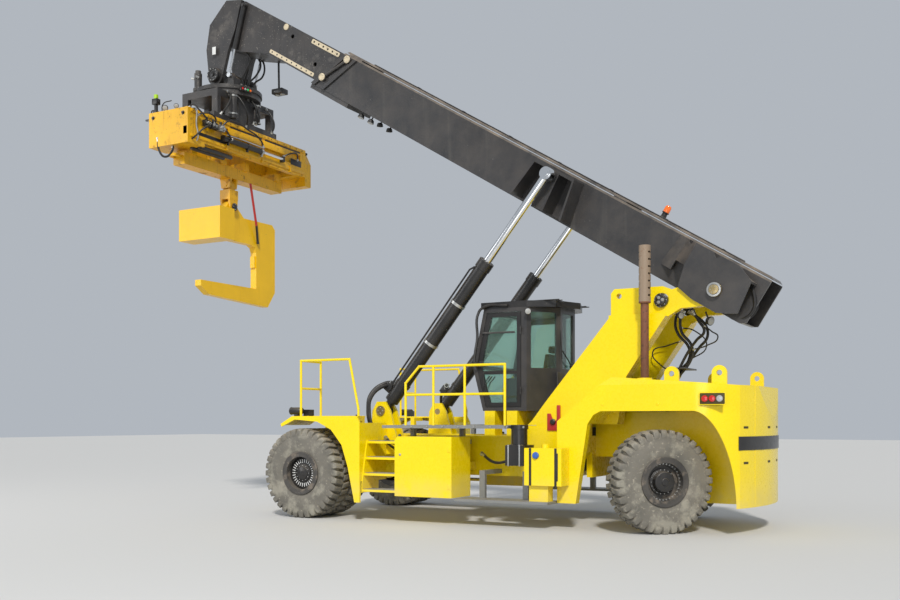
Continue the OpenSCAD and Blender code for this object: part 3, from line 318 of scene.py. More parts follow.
def splashed(height, amount):
    return lambda tree: use(tree, SPLASH, Height=height, Amount=amount)


def above(height):
    """1 above a height and 0 below it."""
    return lambda tree: maths(tree, "GREATER_THAN", height_of(tree, object_place(tree)), height)


def blend_tint(tree, mask, under, over):
    return put(tree, "ShaderNodeMix", {"Factor": mask, 6: under, 7: over}, data_type="RGBA").outputs[2]


def shade(tint, factor):
    """A tint made lighter or darker."""
    return tuple(min(value * factor, 1) for value in tint[:3]) + (1,)


def finish(name, tint, rough, layers=(), metal=0.0, coat=0.0, vary=0.12, bump=(60.0, 0.02),
           rough_vary=0.12):
    """A painted or bare surface. Each layer is (mask maker, tint, roughness change)."""
    made, tree, shader = new_material(name)
    shader.inputs["Metallic"].default_value = metal
    shader.inputs["Coat Weight"].default_value = coat
    shader.inputs["Coat Roughness"].default_value = 0.12
    broad = use(tree, PATCHES, Size=0.9, Amount=0.62, Edge=0.35)
    colour = blend_tint(tree, broad, shade(tint, 1 - vary), shade(tint, 1 + vary))
    fine = use(tree, PATCHES, Size=0.07, Amount=0.6, Edge=0.3)
    gloss = maths(tree, "MULTIPLY_ADD", fine, rough_vary, rough - rough_vary / 2)
    for mask_maker, over, change in layers:
        mask = mask_maker(tree)
        colour = blend_tint(tree, mask, colour, over + (1,))
        gloss = maths(tree, "ADD", gloss, maths(tree, "MULTIPLY", mask, change), clamp=True)
    tree.links.new(colour, shader.inputs["Base Color"])
    tree.links.new(gloss, shader.inputs["Roughness"])
    grain = put(tree, "ShaderNodeTexNoise", {"Vector": object_place(tree), "Scale": bump[0], "Detail": 4.0})
    dents = put(tree, "ShaderNodeBump",
                {"Height": grain.outputs["Fac"], "Strength": bump[1] * 10, "Distance": 0.004})
    tree.links.new(dents.outputs[0], shader.inputs["Normal"])
    return made


def make_glass(name, tint):
    made, tree, shader = new_material(name)
    shader.inputs["Base Color"].default_value = tint + (1,)
    shader.inputs["Transmission Weight"].default_value = 0.96
    shader.inputs["IOR"].default_value = 1.45
    film = use(tree, PATCHES, Size=0.35, Amount=0.5, Edge=0.35)
    tree.links.new(maths(tree, "MULTIPLY_ADD", film, 0.10, 0.02), shader.inputs["Roughness"])
    return made


def make_lens(name, tint, glow=0.0):
    made, tree, shader = new_material(name)
    shader.inputs["Roughness"].default_value = 0.12
    shader.inputs["Coat Weight"].default_value = 0.6
    shader.inputs["Emission Strength"].default_value = glow
    shader.inputs["Emission Color"].default_value = tint + (1,)
    ribs = put(tree, "ShaderNodeTexWave", {"Vector": object_place(tree), "Scale": 40.0, "Distortion": 0.0})
    colour = blend_tint(tree, ribs.outputs["Fac"], shade(tint, 0.72), shade(tint, 1.12))
    tree.links.new(colour, shader.inputs["Base Color"])
    return made


# Finishes

TAN = (0.46, 0.38, 0.29)
GREY_DUST = (0.42, 0.40, 0.37)
BROWN_DUST = (0.42, 0.33, 0.24)
DARK_DUST = (0.30, 0.26, 0.21)
SHIELD_LOW = 3.655

YELLOW = finish("Yellow paint", (0.90, 0.68, 0.0), 0.30, coat=0.22, vary=0.04,
                bump=(90, 0.003), layers=[
    (streaky(0.12, 0.27), (0.74, 0.52, 0.0), 0.10), (dusty(0.16, 0.0), TAN, 0.3),
    (splashed(0.90, 0.45), GREY_DUST, 0.4), (patchy(0.04, 0.27, 0.03), (0.14, 0.10, 0.04), 0.2)])
WORN_YELLOW = finish("Worn yellow paint", (0.78, 0.42, 0.004), 0.40, bump=(40, 0.03), layers=[
    (streaky(0.06, 0.42), (0.42, 0.20, 0.01), 0.15), (patchy(0.20, 0.42, 0.12), (0.30, 0.15, 0.02), 0.2),
    (patchy(0.035, 0.36, 0.03), (0.08, 0.05, 0.03), 0.2), (dusty(0.25, 0.0), TAN, 0.3)])
HOOK_YELLOW = finish("Hook paint", (0.84, 0.50, 0.002), 0.34, vary=0.07, bump=(50, 0.02), layers=[
    (streaky(0.05, 0.36), (0.56, 0.30, 0.01), 0.12), (patchy(0.05, 0.31, 0.03), (0.20, 0.12, 0.04), 0.2),
    (dusty(0.2, 0.0), TAN, 0.3)])
CHARCOAL = finish("Charcoal paint", (0.030, 0.031, 0.034), 0.36, coat=0.15, vary=0.16, layers=[
    (streaky(0.2, 0.4), (0.055, 0.054, 0.052), 0.14), (dusty(0.8, 0.10), BROWN_DUST, 0.4),
    (patchy(0.04, 0.31, 0.03), (0.17, 0.16, 0.15), 0.1)])
WORN_CHARCOAL = finish("Worn charcoal paint", (0.034, 0.034, 0.036), 0.40, vary=0.2,
                       bump=(35, 0.03), layers=[
    (patchy(0.30, 0.45, 0.14), (0.085, 0.080, 0.075), 0.15), (streaky(0.08, 0.42), (0.015, 0.015, 0.015),
                                                              -0.1),
    (patchy(0.03, 0.36, 0.03), (0.26, 0.24, 0.21), 0.1), (dusty(0.7, 0.08), BROWN_DUST, 0.4)])
# Black paint, also used as painted shade in the gaps of the spreader's rear face
BLACK = finish("Black paint and painted shade", (0.012, 0.012, 0.013), 0.34, coat=0.1, vary=0.15, layers=[
    (dusty(0.5, 0.10), DARK_DUST, 0.35), (patchy(0.04, 0.30, 0.03), (0.12, 0.11, 0.10), 0.1)])
CHROME = finish("Rod chrome", (0.78, 0.79, 0.80), 0.10, metal=1.0, vary=0.03, bump=(220, 0.004),
                rough_vary=0.05, layers=[(patchy(0.4, 0.36, 0.3), (0.55, 0.54, 0.52), 0.12)])
ZINC = finish("Zinc plate", (0.55, 0.55, 0.53), 0.34, metal=0.9, vary=0.15, bump=(160, 0.02))
GOLD = finish("Yellow chromate", (0.46, 0.36, 0.18), 0.36, metal=0.8, vary=0.2, bump=(80, 0.03),
              layers=[(patchy(0.05, 0.42, 0.1), (0.20, 0.15, 0.09), 0.2)])
IRON = finish("Engine iron", (0.10, 0.105, 0.105), 0.62, vary=0.25, bump=(30, 0.08),
              layers=[(patchy(0.1, 0.4, 0.12), (0.045, 0.04, 0.035), 0.1)])
EXHAUST = finish("Exhaust pipe", (0.16, 0.060, 0.030), 0.70, vary=0.3, bump=(55, 0.05), layers=[
    (patchy(0.06, 0.46, 0.12), (0.07, 0.035, 0.022), 0.05), (above(SHIELD_LOW), (0.27, 0.20, 0.14), -0.25),
    (patchy(0.09, 0.42, 0.10), (0.20, 0.095, 0.045), 0.1)])
TREAD_PLATE = finish("Grey tread plate", (0.27, 0.275, 0.27), 0.5, metal=0.4, bump=(70, 0.05),
                     layers=[(dusty(0.7, 0.1), GREY_DUST, 0.3)])
RUBBER = finish("Tyre rubber", (0.13, 0.125, 0.108), 0.78, vary=0.16, bump=(45, 0.06),
                rough_vary=0.08, layers=[
    (patchy(0.30, 0.50, 0.12), (0.25, 0.24, 0.20), 0.08), (patchy(0.05, 0.42, 0.10), (0.31, 0.285, 0.235),
                                                           0.06),
    (dusty(0.6, 0.3), (0.45, 0.39, 0.31), 0.1)])
RIM = finish("Rim paint", (0.045, 0.043, 0.041), 0.44, vary=0.2, layers=[
    (patchy(0.16, 0.48, 0.12), (0.15, 0.125, 0.10), 0.15), (dusty(0.6, 0.2), DARK_DUST, 0.3)])
TRIM = finish("Black plastic", (0.014, 0.014, 0.015), 0.52, bump=(240, 0.05), layers=[
    (dusty(0.35, 0.05), GREY_DUST, 0.3)])
HOSE = finish("Hose rubber", (0.010, 0.010, 0.011), 0.44, bump=(160, 0.02), layers=[
    (dusty(0.45, 0.10), (0.20, 0.18, 0.15), 0.3)])
NYLON = finish("Cream wear pad", (0.62, 0.53, 0.37), 0.5, vary=0.08, bump=(90, 0.03), layers=[
    (patchy(0.05, 0.4, 0.1), (0.30, 0.24, 0.16), 0.1)])
SEAT_CLOTH = finish("Seat cloth", (0.020, 0.021, 0.023), 0.88, vary=0.15, bump=(400, 0.12))
GREEN_COVER = finish("Green cover", (0.38, 0.62, 0.02), 0.4, vary=0.06)
# Painted shade: the yellow paint darkened, for the shaded recesses of the tail lamps and slots
SHADOW = finish("Painted shade on yellow", (0.05, 0.036, 0.004), 0.6, vary=0.1)
THIN_DUST = [(dusty(0.3, 0.05), TAN, 0.3)]
# White paint, also used as painted light in the slots of the drive rims' covers
WHITE_PAINT_AND_LIGHT = finish("White paint and painted light", (0.68, 0.69, 0.68), 0.35, vary=0.05, layers=THIN_DUST)
RED_PAINT = finish("Red paint", (0.42, 0.02, 0.015), 0.4, vary=0.1, layers=THIN_DUST)
BLUE_CAP = finish("Blue cap", (0.02, 0.10, 0.42), 0.4, vary=0.1, layers=THIN_DUST)
GLASS = make_glass("Green tinted glass", (0.60, 0.80, 0.71))
RED_LENS = make_lens("Red lens", (0.60, 0.012, 0.010))
WHITE_LENS = make_lens("White lens", (0.42, 0.43, 0.43))
AMBER_LENS = make_lens("Amber lens", (0.85, 0.16, 0.015), 0.15)
GREEN_LENS = make_lens("Green lens", (0.05, 0.50, 0.14), 0.1)

NODE_FINISHES = (
    (YELLOW, "main_frame tower_left tower_right rear_body drive_axle steer_axle front_fenders handrails"),
    (YELLOW, "boarding_steps side_boxes side_tank knuckle_left knuckle_right"),
    (WORN_YELLOW, "spreader_frame hook_link"),
    (HOOK_YELLOW, "coil_hook"),
    (CHARCOAL, "engine_hood cab_shell boom_outer"),
    (WORN_CHARCOAL, "boom_inner boom_head head_yoke slew_frame"),
    (BLACK, "air_cleaner chassis_lamps cab_roof cab_door lift_barrels damper_barrels spreader_gear"),
    (CHROME, "lift_rods damper_rods"),
    (GOLD, "frame_pins"),
    (IRON, "engine_block"),
    (EXHAUST, "exhaust_stack"),
    (TREAD_PLATE, "walkways"),
    (TRIM, "cab_console"),
    (SEAT_CLOTH, "cab_seat"),
    (GLASS, "cab_glass door_glass"),
    (RIM, "drive_rim_left drive_rim_right steer_rim_left steer_rim_right"),
    (RUBBER, "drive_tyres_left drive_tyres_right steer_tyre_left steer_tyre_right"),
)


def dress_nodes():
    for material, names in NODE_FINISHES:
        for name in names.split():
            materials = frame["nodes"][name].data.materials
            materials.clear()
            materials.append(material)


# Modelling helpers. A raw piece is left active, without its name, finish and body

def start():
    """Leaves edit mode and deselects everything."""
    if bpy.context.object and bpy.context.object.mode != "OBJECT":
        bpy.ops.object.mode_set(mode="OBJECT")
    bpy.ops.object.select_all(action="DESELECT")


def show(name, data):
    """Puts new data into the scene as the one active and selected object."""
    start()
    piece = bpy.data.objects.new(name, data)
    bpy.context.scene.collection.objects.link(piece)
    bpy.context.view_layer.objects.active = piece
    piece.select_set(True)
    return piece


def apply_transform():
    bpy.ops.object.transform_apply(location=True, rotation=True, scale=True)


def clean_mesh(weld=None):
    """Joins vertices that lie together, if asked, and turns the faces outward."""
    bpy.ops.object.mode_set(mode="EDIT")
    bpy.ops.mesh.select_all(action="SELECT")
    if weld:
        bpy.ops.mesh.remove_doubles(threshold=weld)
    bpy.ops.mesh.normals_make_consistent(inside=False)
    bpy.ops.object.mode_set(mode="OBJECT")


def apply_all(piece):
    for modifier in list(piece.modifiers):
        bpy.ops.object.modifier_apply(modifier=modifier.name)


def bevel(piece, width, segments=2):
    rounder = piece.modifiers.new("Edges", "BEVEL")
    rounder.width = width
    rounder.segments = segments
    rounder.limit_method = "ANGLE"
    rounder.angle_limit = math.radians(35)
    apply_all(piece)


def settle(name, material, body, placed=Matrix(), smooth=32):
    """Fixes a new piece in place, gives it its finish and lets it ride on its body, if it has one."""
    piece = bpy.context.object
    piece.name = name
    piece.data.transform(placed @ piece.matrix_basis)
    piece.matrix_basis = Matrix()
    bpy.ops.object.shade_smooth_by_angle(angle=math.radians(smooth))
    piece.data.materials.clear()
    piece.data.materials.append(material)
    if body:
        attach(piece, body)
    return piece


def raw_block(lo, hi, edge=0.004):
    """A block between two corners with bevelled edges."""
    start()
    lo, hi = Vector(lo), Vector(hi)
    bpy.ops.mesh.primitive_cube_add(size=1, location=(lo + hi) / 2)
    piece = bpy.context.object
    piece.scale = hi - lo
    apply_transform()
    if edge:
        bevel(piece, edge)
    return piece


def raw_turned(rings, sides=32, edge=0.0):
    """A round piece along Z: rings of (height, radius), the first and the last one closed."""
    start()
    height, radius = rings[0]
    bpy.ops.mesh.primitive_circle_add(vertices=sides, radius=radius, fill_type="NGON",
                                      location=(0, 0, height))
    apply_transform()
    bpy.ops.object.mode_set(mode="EDIT")
    bpy.ops.mesh.select_all(action="SELECT")
    for (low, before), (high, after) in zip(rings, rings[1:]):
        bpy.ops.mesh.extrude_region_move(TRANSFORM_OT_translate={"value": (0, 0, high - low)})
        ratio = after / before
        bpy.ops.transform.resize(value=(ratio, ratio, 1), center_override=(0, 0, high))
    clean_mesh()
    if edge:
        bevel(bpy.context.object, edge)
    return bpy.context.object


def raw_plate(outlines, thick, edge=0.003):
    """A flat plate in XY that rises by thick along Z. Further outlines are holes."""
    shape = bpy.data.curves.new("Plate", "CURVE")
    shape.dimensions = "2D"
    shape.fill_mode = "BOTH"
    shape.extrude = thick / 2 - edge
    shape.bevel_depth = edge
    shape.bevel_resolution = 1
    shape.offset = -edge
    for outline in outlines:
        line = shape.splines.new("POLY")
        line.points.add(len(outline) - 1)
        for point, (x, y) in zip(line.points, outline):
            point.co = (x, y, 0, 1)
        line.use_cyclic_u = True
    show("Plate", shape).location = (0, 0, thick / 2)
    bpy.ops.object.convert(target="MESH")
    apply_transform()
    clean_mesh(0.0002)
    return bpy.context.object


def raw_ring(section, steps):
    """A closed ring turned about Z from a closed section of (height, radius)."""
    start()
    bpy.ops.mesh.primitive_circle_add(vertices=len(section), radius=1)
    for vertex, (height, radius) in zip(bpy.context.object.data.vertices, section):
        vertex.co = (radius, 0, height)
    bpy.ops.object.mode_set(mode="EDIT")
    bpy.ops.mesh.select_all(action="SELECT")
    bpy.ops.mesh.spin(steps=steps, angle=2 * math.pi, center=(0, 0, 0), axis=(0, 0, 1))
    clean_mesh(0.0003)
    return bpy.context.object


def raw_tube(points, radius, soft=True, sides=3):
    """A tube along points: a smooth curve through them, or straight runs."""
    shape = bpy.data.curves.new("Tube", "CURVE")
    shape.dimensions = "3D"
    shape.bevel_depth = radius
    shape.bevel_resolution = sides
    shape.use_fill_caps = True
    shape.resolution_u = 7
    line = shape.splines.new("BEZIER" if soft else "POLY")
    knots = line.bezier_points if soft else line.points
    knots.add(len(points) - 1)
    for knot, place in zip(knots, points):
        if soft:
            knot.co = place
            knot.handle_left_type = "AUTO"
            knot.handle_right_type = "AUTO"
        else:
            knot.co = tuple(place) + (1,)
    show("Tube", shape)
    bpy.ops.object.convert(target="MESH")
    return bpy.context.object


def joined(parts):
    start()
    for part in parts:
        part.select_set(True)
    bpy.context.view_layer.objects.active = parts[0]
    if len(parts) > 1:
        bpy.ops.object.join()
    return bpy.context.object


def repeated(model, places):
    """Copies a model to each place and joins the copies."""
    copies = []
    for place in places:
        copy = bpy.data.objects.new(model.name, model.data.copy())
        copy.data.transform(place)
        bpy.context.scene.collection.objects.link(copy)
        copies.append(copy)
    start()
    bpy.data.objects.remove(model)
    return joined(copies)


def circle(x, y, radius, sides=24):
    turns = [2 * math.pi * i / sides for i in range(sides)]
    return [(x + radius * math.cos(turn), y + radius * math.sin(turn)) for turn in turns]


def rectangle(x0, y0, x1, y1, corner, steps=4):
    """The outline of a rectangle with round corners."""
    points = []
    centres = [(x1 - corner, y0 + corner, -90), (x1 - corner, y1 - corner, 0),
               (x0 + corner, y1 - corner, 90), (x0 + corner, y0 + corner, 180)]
    for x, y, first in centres:
        for i in range(steps + 1):
            angle = math.radians(first + 90 * i / steps)
            points.append((x + corner * math.cos(angle), y + corner * math.sin(angle)))
    return points


def block(name, material, body, lo, hi, edge=0.004, placed=Matrix()):
    raw_block(lo, hi, edge)
    return settle(name, material, body, placed)


def block_row(name, material, body, lo, hi, edge, places):
    """One block's copies at the given frames."""
    repeated(raw_block(lo, hi, edge), places)
    return settle(name, material, body)


def turned(name, material, body, rings, placed, sides=32, edge=0.0):
    raw_turned(rings, sides, edge)
    return settle(name, material, body, placed)


def plate(name, material, body, outlines, thick, placed, edge=0.003):
    raw_plate(outlines, thick, edge)
    return settle(name, material, body, placed)


def ring(name, material, body, section, steps, placed):
    raw_ring(section, steps)
    return settle(name, material, body, placed)


def tube(name, material, body, points, radius, soft=True, sides=3):
    raw_tube(points, radius, soft, sides)
    return settle(name, material, body)


def bolts(name, body, places, radius=0.014, material=ZINC, washer=True):
    """Hexagon bolts at the given frames, whose Z points out of the surface."""
    height = radius * 0.28 if washer else 0
    washers = [raw_turned([(0, radius * 1.5), (height, radius * 1.5)], 16)] if washer else []
    start()
    bpy.ops.mesh.primitive_cylinder_add(vertices=6, radius=radius, depth=radius * 1.2,
                                        location=(0, 0, height + radius * 0.6))
    hexagon = bpy.context.object
    apply_transform()
    bevel(hexagon, radius * 0.14, 1)
    repeated(joined([hexagon] + washers), places)
    return settle(name, material, body)


def ring_places(placed, radius, count):
    """Frames spaced evenly round a circle in the XY plane of a frame, each turned to its angle."""
    step = 2 * math.pi / count
    out = Matrix.Translation((radius, 0, 0))
    return [placed @ Matrix.Rotation(step * i, 4, "Z") @ out for i in range(count)]


def bolt_ring(name, body, placed, radius, count, size, material=ZINC, washer=False):
    bolts(name, body, ring_places(placed, radius, count), size, material, washer)


# Wheels

TYRE_W = 0.48
HALF_W = TYRE_W / 2
LUG_DEPTH = 0.048
LUG_COUNT = 36
LUG_WIDTH = 0.098
LUG_SLANT = 0.16
LUG_TAPER = 0.16
CARCASS_R = TYRE_R - LUG_DEPTH
TWIN_GAP = 0.07
TWIN_TURN = 0.06
DRIVE_OUT = drive_high[1]
STEER_IN = 0.10
DRIVE_DISC = 0.29
STEER_DISC = 0.15
RIM_SIDES = 64
HUB_SIDES = 48
LOCK_RING = ((-0.028, 0.325), (-0.006, 0.325), (0.0, 0.345), (0.002, 0.384), (-0.004, 0.392), (-0.024, 0.392))
INNER_RING = ((-0.060, 0.300), (-0.030, 0.300), (-0.028, 0.318), (-0.060, 0.318))
NUT_RING = ((0, 0.262), (0.05, 0.262), (0.052, 0.298), (0, 0.298))
COVER_CAP = ((0, 0.160), (0.020, 0.158), (0.030, 0.120), (0.045, 0.112), (0.050, 0.060), (0.056, 0.052),
             (0.060, 0.02))
DRIVE_HUB = ((0, 0.196), (0.075, 0.196), (0.095, 0.186), (0.10, 0.15), (0.125, 0.142), (0.13, 0.075),
             (0.165, 0.07), (0.17, 0.03))
STEER_HUB = ((0, 0.205), (0.03, 0.205), (0.035, 0.17), (0.12, 0.162), (0.135, 0.15), (0.137, 0.06),
             (0.15, 0.055))


def make_lug(side):
    """One tread lug from the middle over the shoulder, on side 1 or -1."""
    outline = [(0.012, CARCASS_R - 0.02), (0.012, TYRE_R - 0.001), (HALF_W - 0.055, TYRE_R - 0.001),
               (HALF_W - 0.018, TYRE_R - 0.012), (HALF_W + 0.001, TYRE_R - 0.05),
               (HALF_W - 0.002, TYRE_R - 0.125), (HALF_W - 0.05, TYRE_R - 0.13)]
    lug = raw_plate([outline], LUG_WIDTH, 0.007)
    for vertex in lug.data.vertices:
        across, radial, along = vertex.co
        narrow = 1 - LUG_TAPER * max(0, (radial - CARCASS_R) / LUG_DEPTH)
        along = (along - LUG_WIDTH / 2) * narrow + LUG_SLANT * (across - HALF_W / 2)
        vertex.co = (radial, along, side * across)
    clean_mesh()
    return lug


def make_tyre():
    """A tyre with its lugs, along Z and centred on it."""
    face = [(HALF_W - 0.030, 0.325), (HALF_W - 0.028, 0.392), (HALF_W - 0.012, 0.425), (HALF_W - 0.004, 0.50),
            (HALF_W, 0.56), (HALF_W - 0.002, 0.62), (HALF_W - 0.006, 0.635), (HALF_W - 0.004, 0.66),
            (HALF_W - 0.012, CARCASS_R - 0.045), (HALF_W - 0.035, CARCASS_R - 0.012),
            (HALF_W - 0.08, CARCASS_R)]
    rows = [raw_ring(face + [(-height, radius) for height, radius in reversed(face)], 2 * LUG_COUNT)]
    for side, first in ((1, 0.0), (-1, 0.5)):
        turns = [Matrix.Rotation(2 * math.pi * (i + first) / LUG_COUNT, 4, "Z") for i in range(LUG_COUNT)]
        rows.append(repeated(make_lug(side), turns))
    return joined(rows)


def copy_tyre(model, name, body, placed, node):
    show(name, model.data.copy())
    tyre = settle(name, RUBBER, body, placed)
    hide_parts(node)


def wheel_frame(side, name):
    """Frame of a steered wheel: its origin on the kingpin and its Z out along the axle."""
    spin = joints["steer_wheel_%s_spin" % name]
    return facing(Vector(spin["axis"]) * side, spin["pos_m"])


def make_tyres():
    model = make_tyre()
    outer = DRIVE_OUT - HALF_W
    inner = outer - TYRE_W - TWIN_GAP
    for side, name in SIDES:
        for turn, y, label in ((0, outer, "outer"), (TWIN_TURN, inner, "inner")):
            placed = outward(side, at(0, side * y, TYRE_R)) @ Matrix.Rotation(turn, 4, "Z")
            copy_tyre(model, "Drive_tyre_%s_%s" % (label, name), "drive_wheels_" + name, placed,
                      "drive_tyres_" + name)
        placed = lifted(wheel_frame(side, name), STEER_IN + HALF_W)
        copy_tyre(model, "Steer_tyre_" + name, "steer_wheel_" + name, placed, "steer_tyre_" + name)
    bpy.data.objects.remove(model)


def make_lock_rings(name, body, face):
    """The rings round a rim's mouth. face is the frame in the plane of the rim's outer edge."""
    ring("Lock_ring_" + name, RIM, body, LOCK_RING, RIM_SIDES, face)
    ring("Inner_ring_" + name, RIM, body, INNER_RING, RIM_SIDES, face)


def make_drive_rim(name, body, face):
    """Slotted cover with its cap, and the planetary hub behind it."""
    make_lock_rings(name, body, face)
    cover = lifted(face, -0.125)
    disc_with_hole = [circle(0, 0, 0.300, RIM_SIDES), circle(0, 0, 0.110, 40)]
    plate("Cover_ring_" + name, BLACK, body, disc_with_hole, 0.012, cover)
    # Painted light: pale plates in the cover's slots stand for the light seen through the holes
    slot = raw_plate([rectangle(-0.034, -0.0075, 0.034, 0.0075, 0.006, 3)], 0.006, 0.002)
    repeated(slot, ring_places(lifted(cover, 0.010), 0.218, 30))
    settle("Painted_light_slots_" + name, WHITE_PAINT_AND_LIGHT, body)
    turned("Cover_cap_" + name, BLACK, body, COVER_CAP, lifted(cover, 0.010), 40, 0.002)
    bolt_ring("Cover_bolts_" + name, body, lifted(cover, 0.034), 0.136, 12, 0.008)
    disc = lifted(face, -DRIVE_DISC)
    turned("Hub_" + name, BLACK, body, DRIVE_HUB, disc, HUB_SIDES, 0.003)
    bolt_ring("Hub_bolts_" + name, body, lifted(disc, 0.098), 0.168, 16, 0.009, BLACK)
    valve = face @ Matrix.Rotation(0.7, 4, "Z") @ moved((0.27, 0, -0.14))
    turned("Valve_" + name, ZINC, body, [(0, 0.006), (0.08, 0.006), (0.082, 0.009), (0.10, 0.009)], valve, 10)


def make_steer_rim(name, body, face):
    """Ring of nuts and a domed hub."""
    make_lock_rings(name, body, face)
    disc = lifted(face, -STEER_DISC)
    ring("Nut_ring_" + name, RIM, body, NUT_RING, RIM_SIDES, disc)
    bolt_ring("Nuts_" + name, body, lifted(disc, 0.048), 0.281, 32, 0.0135)
    turned("Hub_" + name, BLACK, body, STEER_HUB, disc, HUB_SIDES, 0.003)
    bolt_ring("Hub_bolts_" + name, body, lifted(disc, 0.030), 0.188, 18, 0.009)


def make_rims():
    for side, name in SIDES:
        make_drive_rim("drive_" + name, "drive_wheels_" + name,
                       outward(side, at(0, side * DRIVE_OUT, TYRE_R)))
        make_steer_rim("steer_" + name, "steer_wheel_" + name,
                       lifted(wheel_frame(side, name), STEER_IN + TYRE_W))


# Small parts that several places share

def work_lamp(name, body, place, aim, size, arm):
    """A round work lamp with a shell, a clear lens and an arm to what carries it."""
    placed = facing(aim, place)
    shell = [(-size * 1.1, size * 0.5), (-size * 0.8, size * 0.85), (-size * 0.1, size), (0.004, size),
             (0.006, size * 0.90)]
    lens = [(0.002, size * 0.86), (0.010, size * 0.84), (0.016, size * 0.5), (0.017, size * 0.1)]
    turned(name + "_shell", TRIM, body, shell, placed, 24, 0.002)
    turned(name + "_lens", WHITE_LENS, body, lens, placed, 24)
    back = place - placed.col[2].to_3d() * size * 0.6
    tube(name + "_arm", TRIM, body, [back, arm], 0.014, False)


def clamp_band(name, body, placed, radius, width, material=ZINC):
    """A split clamp round a tube along Z, with its two ears."""
    half = width / 2
    rim = radius + 0.012
    band = raw_ring([(-half, radius), (-half, rim), (half, rim), (half, radius)], 40)
    ears = [raw_block((radius, y - 0.006, -half), (radius + 0.055, y + 0.006, half), 0.002)
            for y in (-0.014, 0.014)]
    joined([band] + ears)
    settle(name, material, body, placed)


def fitting(name, body, place, direction, radius):
    """A hose fitting: a hexagon nut with its collar."""
    nut = [(0, radius * 1.3), (radius, radius * 1.3)]
    collar = [(radius * 1.05, radius), (radius * 3, radius), (radius * 3.1, radius * 0.8)]
    turned(name, ZINC, body, nut + collar, facing(direction, place), 6)


def hose_set(name, body, place, routes, radius):
    """Hoses through the routes' places, with a fitting at both ends of each."""
    for i, route in enumerate(routes, 1):
        points = [place(*spot) for spot in route]
        label = "%s_%d" % (name, i)
        tube(label, HOSE, body, points, radius)
        fitting(label + "_first", body, points[0], points[1] - points[0], radius * 1.25)
        fitting(label + "_last", body, points[-1], points[-2] - points[-1], radius * 1.25)


# Outer and inner boom

BOOM_HALF_W = 0.43
BOOM_HIGH = 0.59
MOUTH = 8.89
INNER_HALF_W = 0.35
CAP_PLACES = ((MOUTH - 0.128, 0.44), (MOUTH + 0.255, -0.08))
BOX_WELDS = (((2.93, -0.24), (3.07, 0.46)), ((4.02, -0.24), (3.88, 0.46)))
STRIP_END = 10.62
PIPE_UP = BOOM_HIGH + 0.014
LAMP_SPOTS = (7.72, 7.98)
ADJUSTER_CAP = ((0, 0.072), (0.014, 0.072), (0.020, 0.062), (0.021, 0.036), (0.016, 0.030))
PIVOT_CAP = ((0, 0.112), (0.008, 0.116), (0.016, 0.112), (0.018, 0.085), (0.010, 0.080))
PIVOT_CORE = ((0.004, 0.078), (0.024, 0.074), (0.028, 0.060), (0.030, 0.025), (0.024, 0.020))
BEACON_BASE = ((-0.01, 0.075), (0.02, 0.075), (0.03, 0.05), (0.09, 0.045), (0.10, 0.062), (0.115, 0.062))
BEACON_LENS = ((0.113, 0.055), (0.135, 0.058), (0.20, 0.055), (0.225, 0.042), (0.235, 0.015))
FOOT_LOOPS = (
    ((-7.30, 0.36, 4.06), (-7.52, 0.40, 4.00), (-7.70, 0.45, 3.74), (-7.66, 0.42, 3.47), (-7.46, 0.40, 3.38),
     (-7.18, 0.38, 3.55)),
    ((-7.30, 0.26, 4.02), (-7.50, 0.28, 3.90), (-7.60, 0.28, 3.69), (-7.55, 0.26, 3.50), (-7.38, 0.24, 3.43),
     (-7.12, 0.22, 3.58)),
    ((-7.28, -0.10, 4.06), (-7.47, -0.10, 3.94), (-7.62, -0.12, 3.71), (-7.55, -0.12, 3.49),
     (-7.32, -0.10, 3.42), (-7.06, -0.10, 3.60)),
    ((-7.28, -0.26, 4.00), (-7.44, -0.27, 3.90), (-7.55, -0.28, 3.71), (-7.48, -0.28, 3.53),
     (-7.30, -0.26, 3.48), (-7.08, -0.26, 3.62)))


def make_wear_strip(name, side, along, up, length, height, holes, proud, bolted):
    """A cream wear strip with round recesses on the inner boom's side."""
    places = [length * ((i + 0.5) / holes - 0.5) for i in range(holes)]
    shape = [rectangle(-length / 2, -height / 2, length / 2, height / 2, height * 0.3)]
    shape += [circle(x, 0, height * 0.24, 12) for x in places]
    placed = outward(side, on_boom(along, side * (INNER_HALF_W - 0.002), up), UP_BOOM)
    plate(name, NYLON, "inner_boom", shape, proud + 0.002, placed, proud / 4)
    if bolted:
        spots = [placed @ moved((x, 0, 0)) for x in places]
        bolts(name + "_bolts", "inner_boom", spots, height * 0.13, BLACK, False)


